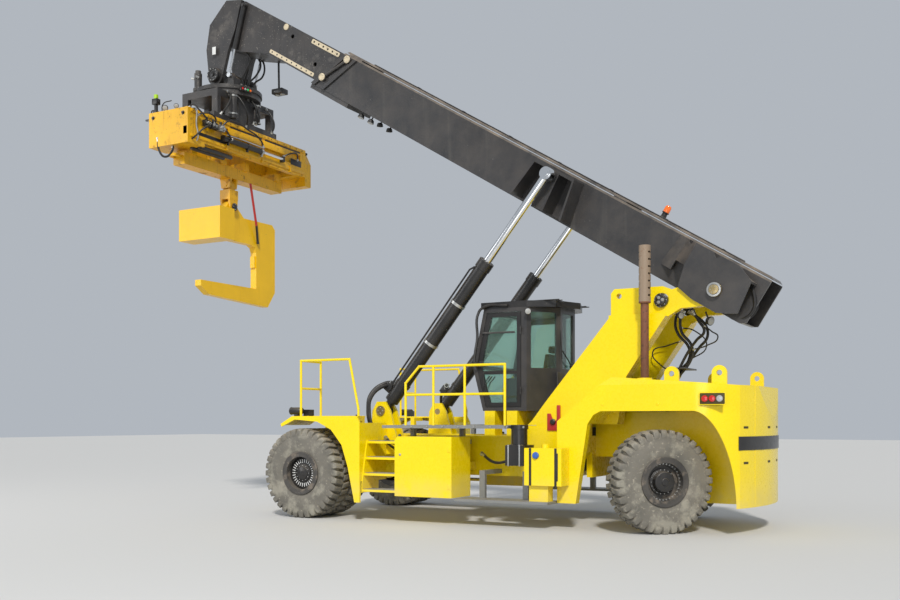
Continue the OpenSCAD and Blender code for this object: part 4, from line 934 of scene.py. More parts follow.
def make_boom_sides():
    for side, name in SIDES:
        for i, (along, up) in enumerate(CAP_PLACES, 1):
            placed = outward(side, on_boom(along, side * (BOOM_HALF_W + 0.055), up), UP_BOOM)
            turned("Adjuster_cap_%s_%d" % (name, i), NYLON, "outer_boom", ADJUSTER_CAP, placed)
            label = "Adjuster_bolts_%s_%d" % (name, i)
            bolt_ring(label, "outer_boom", lifted(placed, 0.018), 0.049, 6, 0.007)
        make_wear_strip("Upper_wear_strip_" + name, side, 9.47, 0.44, 0.78, 0.09, 6, 0.012, True)
        # Nearly flush, because it slides through a narrow gap in the mouth
        make_wear_strip("Lower_wear_strip_" + name, side, 10.12, -0.13, 1.30, 0.075, 9, 0.0002, False)
        turned("Strip_end_" + name, NYLON, "inner_boom", [(0, 0.062), (0.014, 0.062), (0.018, 0.052)],
               outward(side, on_boom(STRIP_END, side * INNER_HALF_W, 0.44), UP_BOOM), 24)
        # Weld beads along the boxes of the rods' pins
        for i, ends in enumerate(BOX_WELDS, 1):
            points = [on_boom(along, side * (BOOM_HALF_W + 0.002), up) for along, up in ends]
            tube("Box_weld_%s_%d" % (name, i), CHARCOAL, "outer_boom", points, 0.009, False)
        placed = outward(side, at(-7.18, side * 0.90, 3.81))
        turned("Pivot_cap_" + name, ZINC, "chassis", PIVOT_CAP, placed, 40)
        turned("Pivot_core_" + name, GOLD, "chassis", PIVOT_CORE, placed, 40)
        bolt_ring("Pivot_bolts_" + name, "chassis", lifted(placed, 0.026), 0.048, 6, 0.007)
        for i, along in enumerate(LAMP_SPOTS, 1):
            work_lamp("Boom_lamp_%s_%d" % (name, i), "outer_boom", on_boom(along, side * 0.34, -0.40),
                      (0.25, side * 0.3, -1), 0.065, on_boom(along, side * 0.34, -0.27))


def make_boom_back():
    """Beacon, pipes and hose loops along the boom's back and behind its foot."""
    base = facing(UP_BOOM, on_boom(1.62, 0.10, BOOM_HIGH), ALONG)
    turned("Beacon_base", BLACK, "outer_boom", BEACON_BASE, base, 28, 0.002)
    turned("Beacon_lens", AMBER_LENS, "outer_boom", BEACON_LENS, base, 28)
    for i, y in enumerate((-0.20, -0.16), 1):
        points = [on_boom(along, y, PIPE_UP) for along in (0.1, 4.0, 8.6)]
        tube("Back_pipe_%d" % i, BLACK, "outer_boom", points, 0.013, False)
    clips = [facing(UP_BOOM, on_boom(0.5 + 1.15 * i, -0.18, BOOM_HIGH), ALONG) for i in range(7)]
    block_row("Back_clips", TRIM, "outer_boom", (-0.05, -0.02, -0.002), (0.05, 0.02, 0.032), 0.005, clips)
    hose_set("Foot_loop", "outer_boom", at, FOOT_LOOPS, 0.030)
    work_lamp("Foot_lamp", "outer_boom", at(-7.02, 0.46, 3.36), (-0.9, 0.5, -0.3), 0.075,
              at(-6.92, 0.40, 3.52))


# Hoses between the towers

TOWER_HOSES = (
    ((-6.40, 0.10, 3.60), (-6.34, 0.12, 3.44), (-6.37, 0.12, 3.23), (-6.54, 0.05, 2.99), (-6.55, 0.00, 2.83),
     (-6.25, 0.00, 2.42)),
    ((-6.50, 0.20, 3.58), (-6.45, 0.22, 3.42), (-6.47, 0.20, 3.22), (-6.61, 0.15, 3.02), (-6.62, 0.10, 2.85),
     (-6.33, 0.10, 2.42)),
    ((-6.49, -0.10, 3.60), (-6.63, -0.15, 3.50), (-6.78, -0.15, 3.34), (-6.80, -0.15, 3.15),
     (-6.67, -0.15, 2.99), (-6.30, -0.10, 2.45)),
    ((-6.68, 0.32, 3.56), (-6.79, 0.32, 3.38), (-6.87, 0.30, 3.22), (-6.73, 0.25, 3.08), (-6.58, 0.20, 2.90),
     (-6.36, 0.20, 2.48)))
TOWER_CABLES = (
    ((-6.27, -0.45, 3.13), (-6.01, -0.50, 3.06), (-5.75, -0.50, 2.96), (-5.89, -0.50, 2.73),
     (-6.08, -0.45, 2.62)),
    ((-6.90, 0.40, 3.30), (-7.02, 0.42, 3.20), (-7.13, 0.45, 3.10), (-6.95, 0.40, 2.98), (-6.70, 0.35, 2.92)),
    ((-6.30, -0.35, 3.35), (-6.55, -0.30, 3.28), (-6.75, -0.30, 3.02), (-6.45, -0.30, 2.78),
     (-6.15, -0.30, 2.50)))


def make_tower_hoses():
    hose_set("Tower_hose", "chassis", at, TOWER_HOSES, 0.024)
    hose_set("Tower_cable", "chassis", at, TOWER_CABLES, 0.011)
    block("Hose_bracket", BLACK, "chassis", (-0.16, -0.36, -0.012), (0.16, 0.36, 0.012), 0.004,
          moved(at(-6.42, 0.05, 2.62)))
    for side, name in SIDES:
        # Block of fittings in the tower's large hole
        placed = outward(side, at(-6.31, side * 0.80, 3.70))
        turned("Tower_plug_" + name, BLACK, "chassis", [(0, 0.112), (0.045, 0.112), (0.05, 0.085),
               (0.085, 0.08)], placed, 32, 0.003)
        bolt_ring("Tower_plug_bolts_" + name, "chassis", lifted(placed, 0.045), 0.096, 8, 0.010)
        bolt_ring("Tower_plug_ports_" + name, "chassis", lifted(placed, 0.083), 0.042, 3, 0.019, washer=True)
    work_lamp("Tower_lamp", "chassis", at(-6.58, 0.62, 3.46), (-0.8, 0.6, -0.1), 0.06, at(-6.45, 0.62, 3.50))


# Lift cylinders

LIFT_FOOT = at(-1.18, 0, 1.94)
LIFT_EYE = at(-4.41, 0, 5.91)
LIFT_Y = 1.04
LIFT_LINE = (LIFT_EYE - LIFT_FOOT).normalized()
LIFT_UP = ACROSS.cross(LIFT_LINE)
BARREL_PIPE = ((0.42, 0.10, 0.10), (0.55, 0.13, 0.12), (1.9, 0.13, 0.12), (3.05, 0.13, 0.12),
               (3.14, 0.09, 0.10))
LIFT_HOSES = (
    ((-1.34, 0.98, 2.42), (-1.20, 1.22, 2.36), (-1.10, 1.40, 2.16), (-1.11, 1.46, 1.92), (-1.16, 1.48, 1.72),
     (-1.22, 1.44, 1.50)),
    ((-1.38, 0.92, 2.46), (-1.22, 1.12, 2.44), (-1.04, 1.30, 2.24), (-1.03, 1.38, 1.96), (-1.08, 1.40, 1.72),
     (-1.16, 1.36, 1.48)))


def make_lift_parts():
    body = "lift_barrels"
    for side, name in SIDES:
        foot = LIFT_FOOT + Vector((0, side * LIFT_Y, 0))

        def on_barrel(along, up=0.0, out=0.0):
            """A place counted from the foot: along the barrel, over it and out to the side."""
            return foot + LIFT_LINE * along + LIFT_UP * up + Vector((0, out, 0))

        for i, (along, material) in enumerate(((0.62, BLACK), (1.55, ZINC), (2.42, ZINC)), 1):
            placed = facing(LIFT_LINE, on_barrel(along), LIFT_UP)
            clamp_band("Barrel_band_%s_%d" % (name, i), body, placed, 0.131, 0.05, material)
        pipe = [on_barrel(along, up, side * out) for along, up, out in BARREL_PIPE]
        tube("Barrel_pipe_" + name, BLACK, body, pipe, 0.017, False)
        block("Lock_valve_" + name, BLACK, body, (-0.075, -0.075, -0.08), (0.075, 0.075, 0.08), 0.010,
              facing(LIFT_LINE, on_barrel(0.40, 0.19), LIFT_UP))
        for i, out in enumerate((-0.04, 0.04), 1):
            fitting("Lock_port_%s_%d" % (name, i), body, on_barrel(0.47, 0.21, out),
                    LIFT_LINE + LIFT_UP * 0.2, 0.02)
        turned("Gland_" + name, BLACK, body, [(0, 0.133), (0.01, 0.140), (0.12, 0.140), (0.13, 0.133)],
               facing(LIFT_LINE, on_barrel(3.17), LIFT_UP), 48)
        bolt_ring("Gland_bolts_" + name, body, facing(LIFT_LINE, on_barrel(3.325), LIFT_UP), 0.112, 12, 0.010,
                  BLACK)
        bolt_ring("Foot_pin_bolts_" + name, "chassis",
                  outward(side, LIFT_FOOT + Vector((0, side * 1.205, 0))), 0.05, 4, 0.011, washer=True)
    for side, name in SIDES:
        hose_set("Lift_hose_" + name, "chassis", lambda x, y, z: at(x, side * y, z), LIFT_HOSES, 0.032)


# Boom head, yoke and slew frame

HEAD_HOSES = (
    ((-0.62, 0.28, 0.62), (-0.72, 0.28, 0.40), (-0.79, 0.24, 0.27), (-0.70, 0.18, 0.18), (-0.52, 0.12, 0.02),
     (-0.40, 0.10, -0.22)),
    ((-0.58, 0.16, 0.60), (-0.66, 0.14, 0.34), (-0.62, 0.10, 0.14), (-0.48, 0.02, -0.02),
     (-0.42, -0.04, -0.22)),
    ((-0.60, -0.20, 0.52), (-0.70, -0.20, 0.28), (-0.62, -0.16, 0.08), (-0.46, -0.12, -0.08),
     (-0.42, -0.12, -0.22)),
    ((-0.60, -0.26, 0.52), (-0.74, -0.27, 0.30), (-0.70, -0.26, 0.06), (-0.52, -0.22, -0.06),
     (-0.44, -0.20, -0.22)))
FRAME_HOSES = (
    ((-0.50, 0.40, -0.44), (-0.66, 0.36, -0.62), (-0.72, 0.26, -0.86), (-0.60, 0.12, -1.02),
     (-0.54, 0.10, -1.10)),
    ((-0.50, -0.02, -0.46), (-0.68, -0.05, -0.62), (-0.66, -0.08, -0.84), (-0.58, -0.10, -0.98)),
    ((-0.50, -0.14, -0.46), (-0.66, -0.16, -0.66), (-0.70, -0.16, -0.86), (-0.58, -0.18, -0.98)),
    ((-0.50, 0.62, -0.46), (-0.66, 0.70, -0.60), (-0.68, 0.82, -0.84), (-0.56, 0.90, -1.02)),
    ((-0.50, -0.62, -0.50), (-0.64, -0.66, -0.70), (-0.66, -0.70, -0.90), (-0.56, -0.72, -1.02)))
HEAD_BOSS = ((-0.03, 0.150), (0.045, 0.150), (0.060, 0.138), (0.062, 0.098), (0.045, 0.092), (0.047, 0.048),
             (0.075, 0.044), (0.078, 0.015))
SIGNAL_STEP = 0.07
UPRIGHTS = (("left", 0.52, 0.078), ("right", -0.27, 0.048))


def make_head_parts():
    for side, name in SIDES:
        placed = outward(side, at_head(0.0, side * 0.466, 0.0))
        turned("Head_boss_" + name, BLACK, "inner_boom", HEAD_BOSS, placed, 48, 0.002)
        bolt_ring("Head_boss_bolts_" + name, "inner_boom", lifted(placed, 0.060), 0.120, 10, 0.010)
        block("Bare_plate_" + name, WHITE_PAINT_AND_LIGHT, "inner_boom", (-0.048, -0.080, -0.002),
              (0.048, 0.080, 0.008), 0.004, outward(side, at_head(-0.02, side * 0.488, 0.50)))
    # Lamp block on the ring's rear
    placed = facing((-1, 0.15, 0), at_head(-0.655, 0.22, -0.345))
    block("Signal_block", BLACK, "yoke", (-0.15, -0.045, -0.06), (0.15, 0.045, 0.02), 0.008, placed)
    for i, lens in enumerate((RED_LENS, WHITE_LENS, GREEN_LENS, AMBER_LENS)):
        turned("Signal_lens_%d" % (i + 1), lens, "yoke", [(0, 0.026), (0.008, 0.026), (0.020, 0.018),
               (0.024, 0.006)], placed @ moved((SIGNAL_STEP * (i - 1.5), 0, 0.018)), 20)
    # Pole with its floodlight under the boom
    tube("Flood_pole", BLACK, "inner_boom", [at_head(-1.12, -0.28, 0.42), at_head(-1.12, -0.28, 0.30),
         at_head(-1.13, -0.28, -0.28)], 0.022, False)
    block("Flood_box", BLACK, "inner_boom", (-0.14, -0.11, -0.055), (0.14, 0.11, 0.055), 0.018,
          moved(at_head(-1.15, -0.28, -0.33)))
    for i, x in enumerate((-1.22, -1.08), 1):
        turned("Flood_lens_%d" % i, WHITE_LENS, "inner_boom", [(0, 0.050), (0.010, 0.050), (0.016, 0.030)],
               facing(-UP, at_head(x, -0.28, -0.384)), 20)
    # Slew motor
    top = facing(UP, at_head(0.43, 0.48, 0.08))
    bolt_ring("Motor_bolts", "yoke", lifted(top, -0.31), 0.092, 8, 0.010)
    turned("Motor_cap", ZINC, "yoke", [(0, 0.058), (0.03, 0.058), (0.04, 0.045), (0.06, 0.04)], top, 24,
           0.002)
    bolt_ring("Motor_cap_bolts", "yoke", lifted(top, 0.03), 0.048, 6, 0.008, BLACK)
    fitting("Motor_port_1", "yoke", at_head(0.50, 0.52, -0.02), (1, 0.6, 0.3), 0.022)
    fitting("Motor_port_2", "yoke", at_head(0.36, 0.54, -0.02), (0.4, 0.6, 0.3), 0.022)
    bolt_ring("Ring_bolts", "yoke", facing(UP, at_head(0, 0, -0.288)), 0.64, 36, 0.013, BLACK)
    # Curved hoses between the boom and the yoke, which ride on no body
    for i, route in enumerate(HEAD_HOSES, 1):
        points = [at_head(*spot) for spot in route]
        line = tube("Head_hose_%d" % i, HOSE, None, points, 0.020)
        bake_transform(line)
        fitting("Head_fitting_%d" % i, "yoke", points[-1], points[-2] - points[-1], 0.025)
    hose_set("Frame_hose", "slew_frame", at_head, FRAME_HOSES, 0.018)
    for name, y, radius in UPRIGHTS:
        for i, z in enumerate((-0.55, -0.92), 1):
            clamp_band("Upright_band_%s_%d" % (name, i), "slew_frame",
                       facing(UP, at_head(-0.57, y, z), (-1, 0, 0)), radius, 0.03)


# Spreader

REAR_FACE = -0.52
FACE_RAILS = ((-1.95, 1.72, -1.17, -1.11), (-1.95, 1.72, -1.66, -1.60), (-0.42, 0.62, -1.36, -1.22),
              (-1.40, -0.50, -1.36, -1.22))
FACE_GAPS = ((0.66, 1.50, -1.59, -1.52), (-0.46, 0.56, -1.21, -1.175), (-1.80, -0.56, -1.21, -1.175),
             (-1.84, -1.46, -1.52, -1.38))
VALVES = ((0.95, ZINC), (1.17, BLACK), (1.36, BLACK))
SPREADER_HOSES = (
    ((-0.67, 0.91, -1.33), (-0.72, 0.84, -1.42), (-0.70, 0.74, -1.50), (-0.66, 0.66, -1.50)),
    ((-0.67, 0.99, -1.33), (-0.74, 0.90, -1.20), (-0.70, 0.60, -1.12), (-0.66, 0.20, -1.16),
     (-0.64, -0.30, -1.30), (-0.66, -0.36, -1.44)),
    ((-0.67, 1.21, -1.33), (-0.76, 1.26, -1.24), (-0.72, 1.40, -1.16), (-0.62, 1.50, -1.17),
     (-0.53, 1.54, -1.20)),
    ((-0.67, 1.32, -1.33), (-0.75, 1.44, -1.40), (-0.70, 1.58, -1.52), (-0.62, 1.66, -1.64),
     (-0.40, 1.68, -1.74), (0.05, 1.66, -1.76)),
    ((-0.67, 1.40, -1.33), (-0.74, 1.52, -1.28), (-0.68, 1.66, -1.14), (-0.58, 1.70, -1.04),
     (-0.44, 1.68, -1.07)),
    ((-0.54, -1.15, -1.42), (-0.66, -1.28, -1.34), (-0.66, -1.50, -1.30), (-0.56, -1.66, -1.40)))
SPREADER_LOOP = ((0.30, 1.78, -1.60), (0.26, 1.78, -1.86), (0.12, 1.76, -2.00), (-0.05, 1.74, -1.90),
                 (-0.06, 1.72, -1.76))


def make_spreader_faces():
    body = "spreader"
    for side, label in ((-1, "rear"), (1, "front")):
        x = -side * REAR_FACE
        lo, hi = sorted((x - side * 0.01, x + side * 0.022))
        for i, (y0, y1, z0, z1) in enumerate(FACE_RAILS, 1):
            block("Face_rail_%s_%d" % (label, i), WORN_YELLOW, body, at_head(lo, y0, z0), at_head(hi, y1, z1),
                  0.005)
        rivets = [facing((side, 0, 0), at_head(x + side * 0.020, -1.85 + 0.22 * i, -1.14)) for i in range(17)]
        bolts("Rail_bolts_" + label, body, rivets, 0.010, BLACK, False)
    for i, (y, material) in enumerate(VALVES, 1):
        block("Valve_%d" % i, material, body, at_head(-0.66, y - 0.075, -1.40),
              at_head(-0.56, y + 0.075, -1.27), 0.006)
        ports = [facing((-1, 0, 0), at_head(-0.658, y + dy, -1.335)) for dy in (-0.04, 0.04)]
        bolts("Valve_ports_%d" % i, body, ports, 0.018)
        turned("Valve_spool_%d" % i, TRIM, body, [(0, 0.026), (0.06, 0.026), (0.07, 0.018)],
               facing(UP, at_head(-0.61, y, -1.27)), 20, 0.002)


def make_spreader_lines():
    """Hoses, clamps and pipes of the rear face, and the cylinder that shifts the beam."""
    body = "spreader"
    hose_set("Spreader_hose", body, at_head, SPREADER_HOSES, 0.017)
    hose_set("Spreader_loop", body, at_head, [SPREADER_LOOP], 0.022)
    for i, (y, material) in enumerate(((0.70, BLACK), (0.10, BLACK), (-0.36, ZINC)), 1):
        clamp_band("Side_band_%d" % i, body, facing(ACROSS, at_head(-0.59, y, -1.50), (-1, 0, 0)), 0.058,
                   0.04, material)
    tube("Side_rod", CHROME, body, [at_head(-0.59, y, -1.50) for y in (-0.40, -1.08)], 0.0295, False)
    tube("Side_pipe", ZINC, body, [at_head(-0.64, 0.80, -1.43), at_head(-0.65, 0.30, -1.42),
         at_head(-0.65, -0.34, -1.43)], 0.012, False)


def make_spreader_ends():
    """Camera, lamps, latch and bolts at the left end, painted shade in the rear face's gaps, and cylinders
    under the box.
    """
    body = "spreader"
    post = at_head(0.43, 1.695, -0.90)
    block("Camera_box", BLACK, body, (-0.07, -0.055, 0), (0.07, 0.055, 0.12), 0.012, moved(post))
    block("Camera_head", GREEN_COVER, body, (-0.035, -0.03, 0), (0.035, 0.03, 0.09), 0.008,
          moved(post + 0.12 * UP))
    turned("Camera_lens", TRIM, body, [(0, 0.026), (0.02, 0.026), (0.024, 0.016)],
           facing((-1, 0, 0), post + Vector((-0.07, 0, 0.06))), 20)
    work_lamp("End_lamp_1", body, at_head(0.20, 1.68, -0.99), (-0.5, 1, -0.6), 0.06,
              at_head(0.20, 1.66, -1.09))
    work_lamp("End_lamp_2", body, at_head(-0.12, 1.70, -1.00), (-0.6, 1, -0.6), 0.05,
              at_head(-0.12, 1.66, -1.09))
    tube("Camera_cable", HOSE, body, [at_head(0.30, 1.66, -1.09), at_head(0.32, 1.60, -0.86),
         at_head(0.18, 1.52, -0.80)], 0.010)
    tube("End_cable", HOSE, body, [at_head(0.48, 1.60, -1.09), at_head(0.56, 1.64, -0.98),
         at_head(0.54, 1.72, -1.12)], 0.012)
    block("End_latch", BLACK, body, at_head(-0.50, 1.788, -1.62), at_head(-0.40, 1.80, -1.46))
    bolts("End_bolts", body, [facing(ACROSS, at_head(x, 1.795, -1.20)) for x in (-0.40, 0.40)], 0.026, BLACK)
    # Grey pipe round the left rear corner
    tube("Corner_pipe", ZINC, body, [at_head(-0.44, 1.60, -1.08), at_head(-0.56, 1.62, -1.10),
         at_head(-0.56, 1.60, -1.40), at_head(-0.56, 1.56, -1.66), at_head(-0.46, 1.54, -1.74)], 0.018)
    # Painted shade: thin black strips in the gaps along the rear face
    for i, (y0, y1, z0, z1) in enumerate(FACE_GAPS, 1):
        block("Face_gap_%d" % i, BLACK, body, at_head(-0.5235, y0, z0), at_head(-0.515, y1, z1), 0.002)
    for i, (x, z, y0, y1) in enumerate(((-0.43, -1.785, 0.42, 1.40), (-0.30, -1.80, 0.50, 1.46)), 1):
        turned("Lower_cylinder_%d" % i, BLACK, body, [(0, 0.036), (0.03, 0.048), (y1 - y0 - 0.05, 0.048),
               (y1 - y0, 0.040)], facing(ACROSS, at_head(x, y0, z)), 28, 0.003)
    # Ports on the right end
    for i, (x, z) in enumerate(((-0.40, -1.12), (-0.34, -1.26), (-0.28, -1.40)), 1):
        turned("End_port_%d" % i, BLACK, body, [(0, 0.03), (0.05, 0.03), (0.06, 0.02)],
               facing((-0.4, -1, 0), at_head(x, -2.14, z)), 14, 0.002)


# Hook

HOOK_PIN_Z = -2.71
STRAP = [at_head(-0.20, -0.46, -2.12), at_head(-0.19, -0.56, -2.50), at_head(-0.17, -0.70, -3.00),
         at_head(-0.12, -0.80, -3.34)]


def make_hook_parts():
    # Webbing strap from the spreader's beam to the hook's arm, with a dark sleeve at its end
    tube("Strap_1", RED_PAINT, "hook", STRAP[:3], 0.026, sides=2)
    tube("Strap_2", HOSE, "hook", STRAP[2:], 0.026, sides=2)
    turned("Strap_clamp", BLACK, "hook", [(0, 0.03), (0.05, 0.03), (0.06, 0.02)],
           facing((0, 0.2, 1), at_head(-0.12, -0.81, -3.38)), 16, 0.003)
    for side, name in SIDES:
        placed = facing((side, 0, 0), at_head(side * 0.150, 0, HOOK_PIN_Z))
        turned("Hook_pin_cap_" + name, BLACK, "hook", [(0, 0.080), (0.018, 0.080), (0.024, 0.070),
               (0.026, 0.03)], placed, 32, 0.002)
        bolt_ring("Hook_pin_bolts_" + name, "hook", lifted(placed, 0.022), 0.055, 4, 0.010)


# Seat

CUSHION_HIGH = 0.50
CUSHION_ROUND = 0.022
BELLOWS_STEP = 0.05


def soft_block(lo, hi, crown):
    """A cushion: its faces bulge by crown and its edges stay full."""
    piece = raw_block(lo, hi, 0)
    edges = piece.modifiers.new("Hold", "BEVEL")
    edges.width = CUSHION_ROUND
    edges.segments = 2
    smoother = piece.modifiers.new("Round", "SUBSURF")
    smoother.levels = 2
    smoother.render_levels = 2
    apply_all(piece)
    lo, hi = Vector(lo), Vector(hi)
    middle = (lo + hi) / 2
    half = (hi - lo) / 2
    for vertex in piece.data.vertices:
        place = vertex.co - middle
        for axis in range(3):
            if abs(place[axis]) / half[axis] > 0.7:
                lift = 1.0
                for other in {0, 1, 2} - {axis}:
                    lift *= max(0.0, 1 - (abs(place[other]) / half[other]) ** 2)
                place[axis] += math.copysign(crown * lift, place[axis])
        vertex.co = middle + place
    return piece


def make_seat():
    low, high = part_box("cab_seat")
    x0, x1, z0 = low[0], high[0], low[2]
    top = z0 + CUSHION_HIGH
    cushion = soft_block((x0 + 0.13, -0.225, top - 0.10), (x1 - 0.02, 0.225, top), 0.010)
    settle("Chair_cushion", SEAT_CLOTH, "chassis")
    lean = moved((x0 + 0.15, 0, top)) @ Matrix.Rotation(math.radians(-8), 4, "Y")
    back = soft_block((-0.055, -0.205, 0.01), (0.045, 0.205, 0.45), 0.012)
    settle("Chair_back", SEAT_CLOTH, "chassis", lean)
    rest = soft_block((-0.045, -0.12, 0.48), (0.030, 0.12, 0.60), 0.008)
    settle("Chair_headrest", SEAT_CLOTH, "chassis", lean)
    levels = [z0 + 0.11 + BELLOWS_STEP * i for i in range(4)]
    lower = raw_block((x0 + 0.12, -0.19, z0 + 0.005), (x1 - 0.06, 0.19, z0 + 0.10), 0.012)
    bellows = [raw_block((x0 + 0.16, -0.15, z), (x1 - 0.10, 0.15, z + 0.035), 0.012) for z in levels]
    upper = raw_block((x0 + 0.13, -0.19, top - 0.155), (x1 - 0.06, 0.19, top - 0.105), 0.012)
    joined([lower, upper] + bellows)
    settle("Chair_base", TRIM, "chassis")
    joined([raw_block((x0 + 0.20, y - 0.022, top + 0.14), (x0 + 0.46, y + 0.012, top + 0.19), 0.014)
            for y in (0.235, -0.235)])
    arm_piece = settle("Chair_arms", TRIM, "chassis")
    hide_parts("cab_seat")


# Cab

CAB_REAR = -4.372
ROOF_TOP = 3.822
HANDLE_X = -3.16


def make_cab_parts():
    body = "chassis"
    # Guard tube ahead of the door, lamps and wiper
    tube("Guard_tube", BLACK, body, [at(-3.60, 0.89, 3.755), at(-3.16, 0.91, 3.75), at(-3.06, 0.93, 3.66),
         at(-3.03, 0.93, 3.20), at(-2.98, 0.93, 2.80), at(-3.00, 0.90, 2.66)], 0.024)
    work_lamp("Cab_lamp_rear", body, at(-4.02, 0.955, 3.63), (-0.5, 1, -0.3), 0.058, at(-4.00, 0.855, 3.68))
    for side, name in SIDES:
        work_lamp("Roof_lamp_" + name, body, at(-3.16, side * 0.60, 3.675), (1, 0, -0.45), 0.055,
                  at(-3.20, side * 0.60, 3.73))
    tube("Wiper_arm", TRIM, body, [at(-4.385, -0.10, 2.72), at(-4.40, 0.10, 2.84), at(-4.40, 0.36, 2.98)],
         0.010, False)
    block("Wiper_blade", TRIM, body, (-0.006, -0.010, -0.25), (0.006, 0.010, 0.25), 0.002,
          moved(at(-4.392, 0.38, 3.08)) @ Matrix.Rotation(-0.12, 4, "X"))
    turned("Wiper_hub", TRIM, body, [(-0.01, 0.030), (0.02, 0.030), (0.03, 0.018)],
           facing((-1, 0, 0), at(-4.37, -0.10, 2.72)), 20, 0.002)
    # Cover with louvres low on the cab's rear
    block("Rear_cover", CHARCOAL, body, at(CAB_REAR, -0.50, 2.02), at(CAB_REAR + 0.017, 0.50, 2.60), 0.006)
    slots = [moved(at(CAB_REAR - 0.002, y, 2.14 + 0.055 * i)) for i in range(6) for y in (-0.24, 0.24)]
    block_row("Rear_louvres", TRIM, body, (-0.006, -0.16, -0.010), (0.006, 0.16, 0.010), 0.003, slots)
    # Roof ribs and hatch
    block("Roof_hatch", BLACK, body, (-0.36, -0.34, 0), (0.36, 0.34, 0.022), 0.012,
          moved(at(-3.80, 0, ROOF_TOP)))
    ribs = [moved(at(-3.83, y, ROOF_TOP + 0.004)) for y in (-0.70, -0.56, 0.56, 0.70)]
    block_row("Roof_ribs", BLACK, body, (-0.66, -0.020, 0), (0.66, 0.020, 0.016), 0.007, ribs)
    # Door handle, latch and bar
    grip = [at(HANDLE_X, 0.895, 2.60), at(HANDLE_X, 0.945, 2.60), at(HANDLE_X, 0.945, 2.36),
            at(HANDLE_X, 0.895, 2.36)]
    tube("Door_handle", TRIM, "cab_door", grip, 0.010, False)
    block("Door_latch", TRIM, "cab_door", at(-3.13, 0.893, 2.70), at(-3.05, 0.915, 2.80), 0.006)
    block("Door_bar", CHARCOAL, "cab_door", at(-3.72, 0.836, 3.28), at(-3.10, 0.888, 3.31))
    # Cables under the cab's front
    for i, y in enumerate((0.62, 0.52, 0.40), 1):
        points = [at(-3.12, y, 2.55), at(-2.98, y, 2.36), at(-2.98, y, 2.10), at(-3.06, y, 1.94)]
        tube("Cab_cable_%d" % i, HOSE, body, points, 0.012)


# Chassis

STEP_TREADS = ((1.400, 1.500), (1.120, 1.560), (0.840, 1.620), (0.560, 1.680))
FRAME_LINES = (
    ((-1.35, 1.30, 1.46), (-1.55, 1.38, 1.36), (-1.90, 1.40, 1.34), (-2.30, 1.30, 1.30)),
    ((-1.30, 1.24, 1.40), (-1.60, 1.30, 1.24), (-2.00, 1.30, 1.20), (-2.40, 1.24, 1.22)),
    ((-3.30, 1.30, 1.20), (-3.60, 1.36, 1.05), (-3.95, 1.40, 1.12), (-4.20, 1.45, 1.20)))
SWITCH_WEDGE = ((0.0, -0.16), (0.19, -0.16), (0.19, 0.04), (0.12, -0.02), (0.06, 0.13), (0.0, 0.13))


def stud_field(name, material, side, radius, first, step, count):
    """A pattern of low studs on a deck: first place, steps and counts along X and Y."""
    x, y, z = first
    places = [moved(at(x + step[0] * i, side * (y + step[1] * j), z))
              for i in range(count[0]) for j in range(count[1])]
    repeated(raw_turned([(-0.003, radius), (0.004, radius - 0.004), (0.005, 0.010)], 10), places)
    settle(name, material, "chassis")


def make_treads():
    """Serrated treads over the boarding steps and studs on the decks."""
    for side, name in SIDES:
        bars = [moved(at(-1.665, side * (y + 0.025 + 0.047 * i), z))
                for z, y in STEP_TREADS for i in range(7)]
        block_row("Tread_bars_" + name, TREAD_PLATE, "chassis", (-0.325, -0.009, -0.004),
                  (0.325, 0.009, 0.009), 0.003, bars)
        stud_field("Fender_studs_" + name, YELLOW, side, 0.024, (-0.95, 1.30, 1.841), (0.13, 0.11), (10, 6))
        stud_field("Deck_studs_" + name, TREAD_PLATE, side, 0.026, (-4.30, 1.28, 1.681), (0.14, 0.12),
                   (16, 5))


def make_chassis_sides():
    body = "chassis"
    for side, name in SIDES:
        # Side box: lock, hinges and knob
        turned("Box_lock_" + name, ZINC, body, [(0, 0.022), (0.010, 0.022), (0.014, 0.012)],
               outward(side, at(-2.13, side * 2.049, 1.18)), 20, 0.001)
        hinges = [moved(at(-3.085, side * 2.045, z)) for z in (0.66, 1.28)]
        block_row("Box_hinges_" + name, YELLOW, body, (-0.03, -0.012, -0.05), (0.03, 0.012, 0.05), 0.005,
                  hinges)
        turned("Box_knob_" + name, BLACK, body, [(0, 0.030), (0.02, 0.030), (0.03, 0.020)],
               facing((0, side, 0.4), at(-2.10, side * 2.00, 1.50)), 18, 0.002)
        # Deck lamp on the front fender
        y = side * 1.93
        placed = facing((1, 0, 0), at(0.16, y, 1.935))
        turned("Deck_lamp_shell_" + name, BLACK, body, [(-0.13, 0.052), (-0.11, 0.066), (0.10, 0.066),
               (0.115, 0.072), (0.125, 0.070)], placed, 28, 0.003)
        turned("Deck_lamp_lens_" + name, WHITE_LENS, body, [(0.12, 0.062), (0.13, 0.058), (0.134, 0.03)],
               placed, 28)
        block("Deck_lamp_foot_" + name, BLACK, body, at(0.10, y - 0.03, 1.84), at(0.20, y + 0.03, 1.88),
              0.006)
        # Handle on the fender's rear slope
        handle = [at(-1.20, side * 2.00, 1.86), at(-1.22, side * 2.05, 1.76), at(-1.20, side * 2.05, 1.62)]
        tube("Fender_handle_" + name, BLACK, body, handle, 0.014)
        row = [outward(side, at(-4.40 + 0.30 * i, side * 1.958, 1.655)) for i in range(8)]
        bolts("Deck_bolts_" + name, body, row, 0.012)


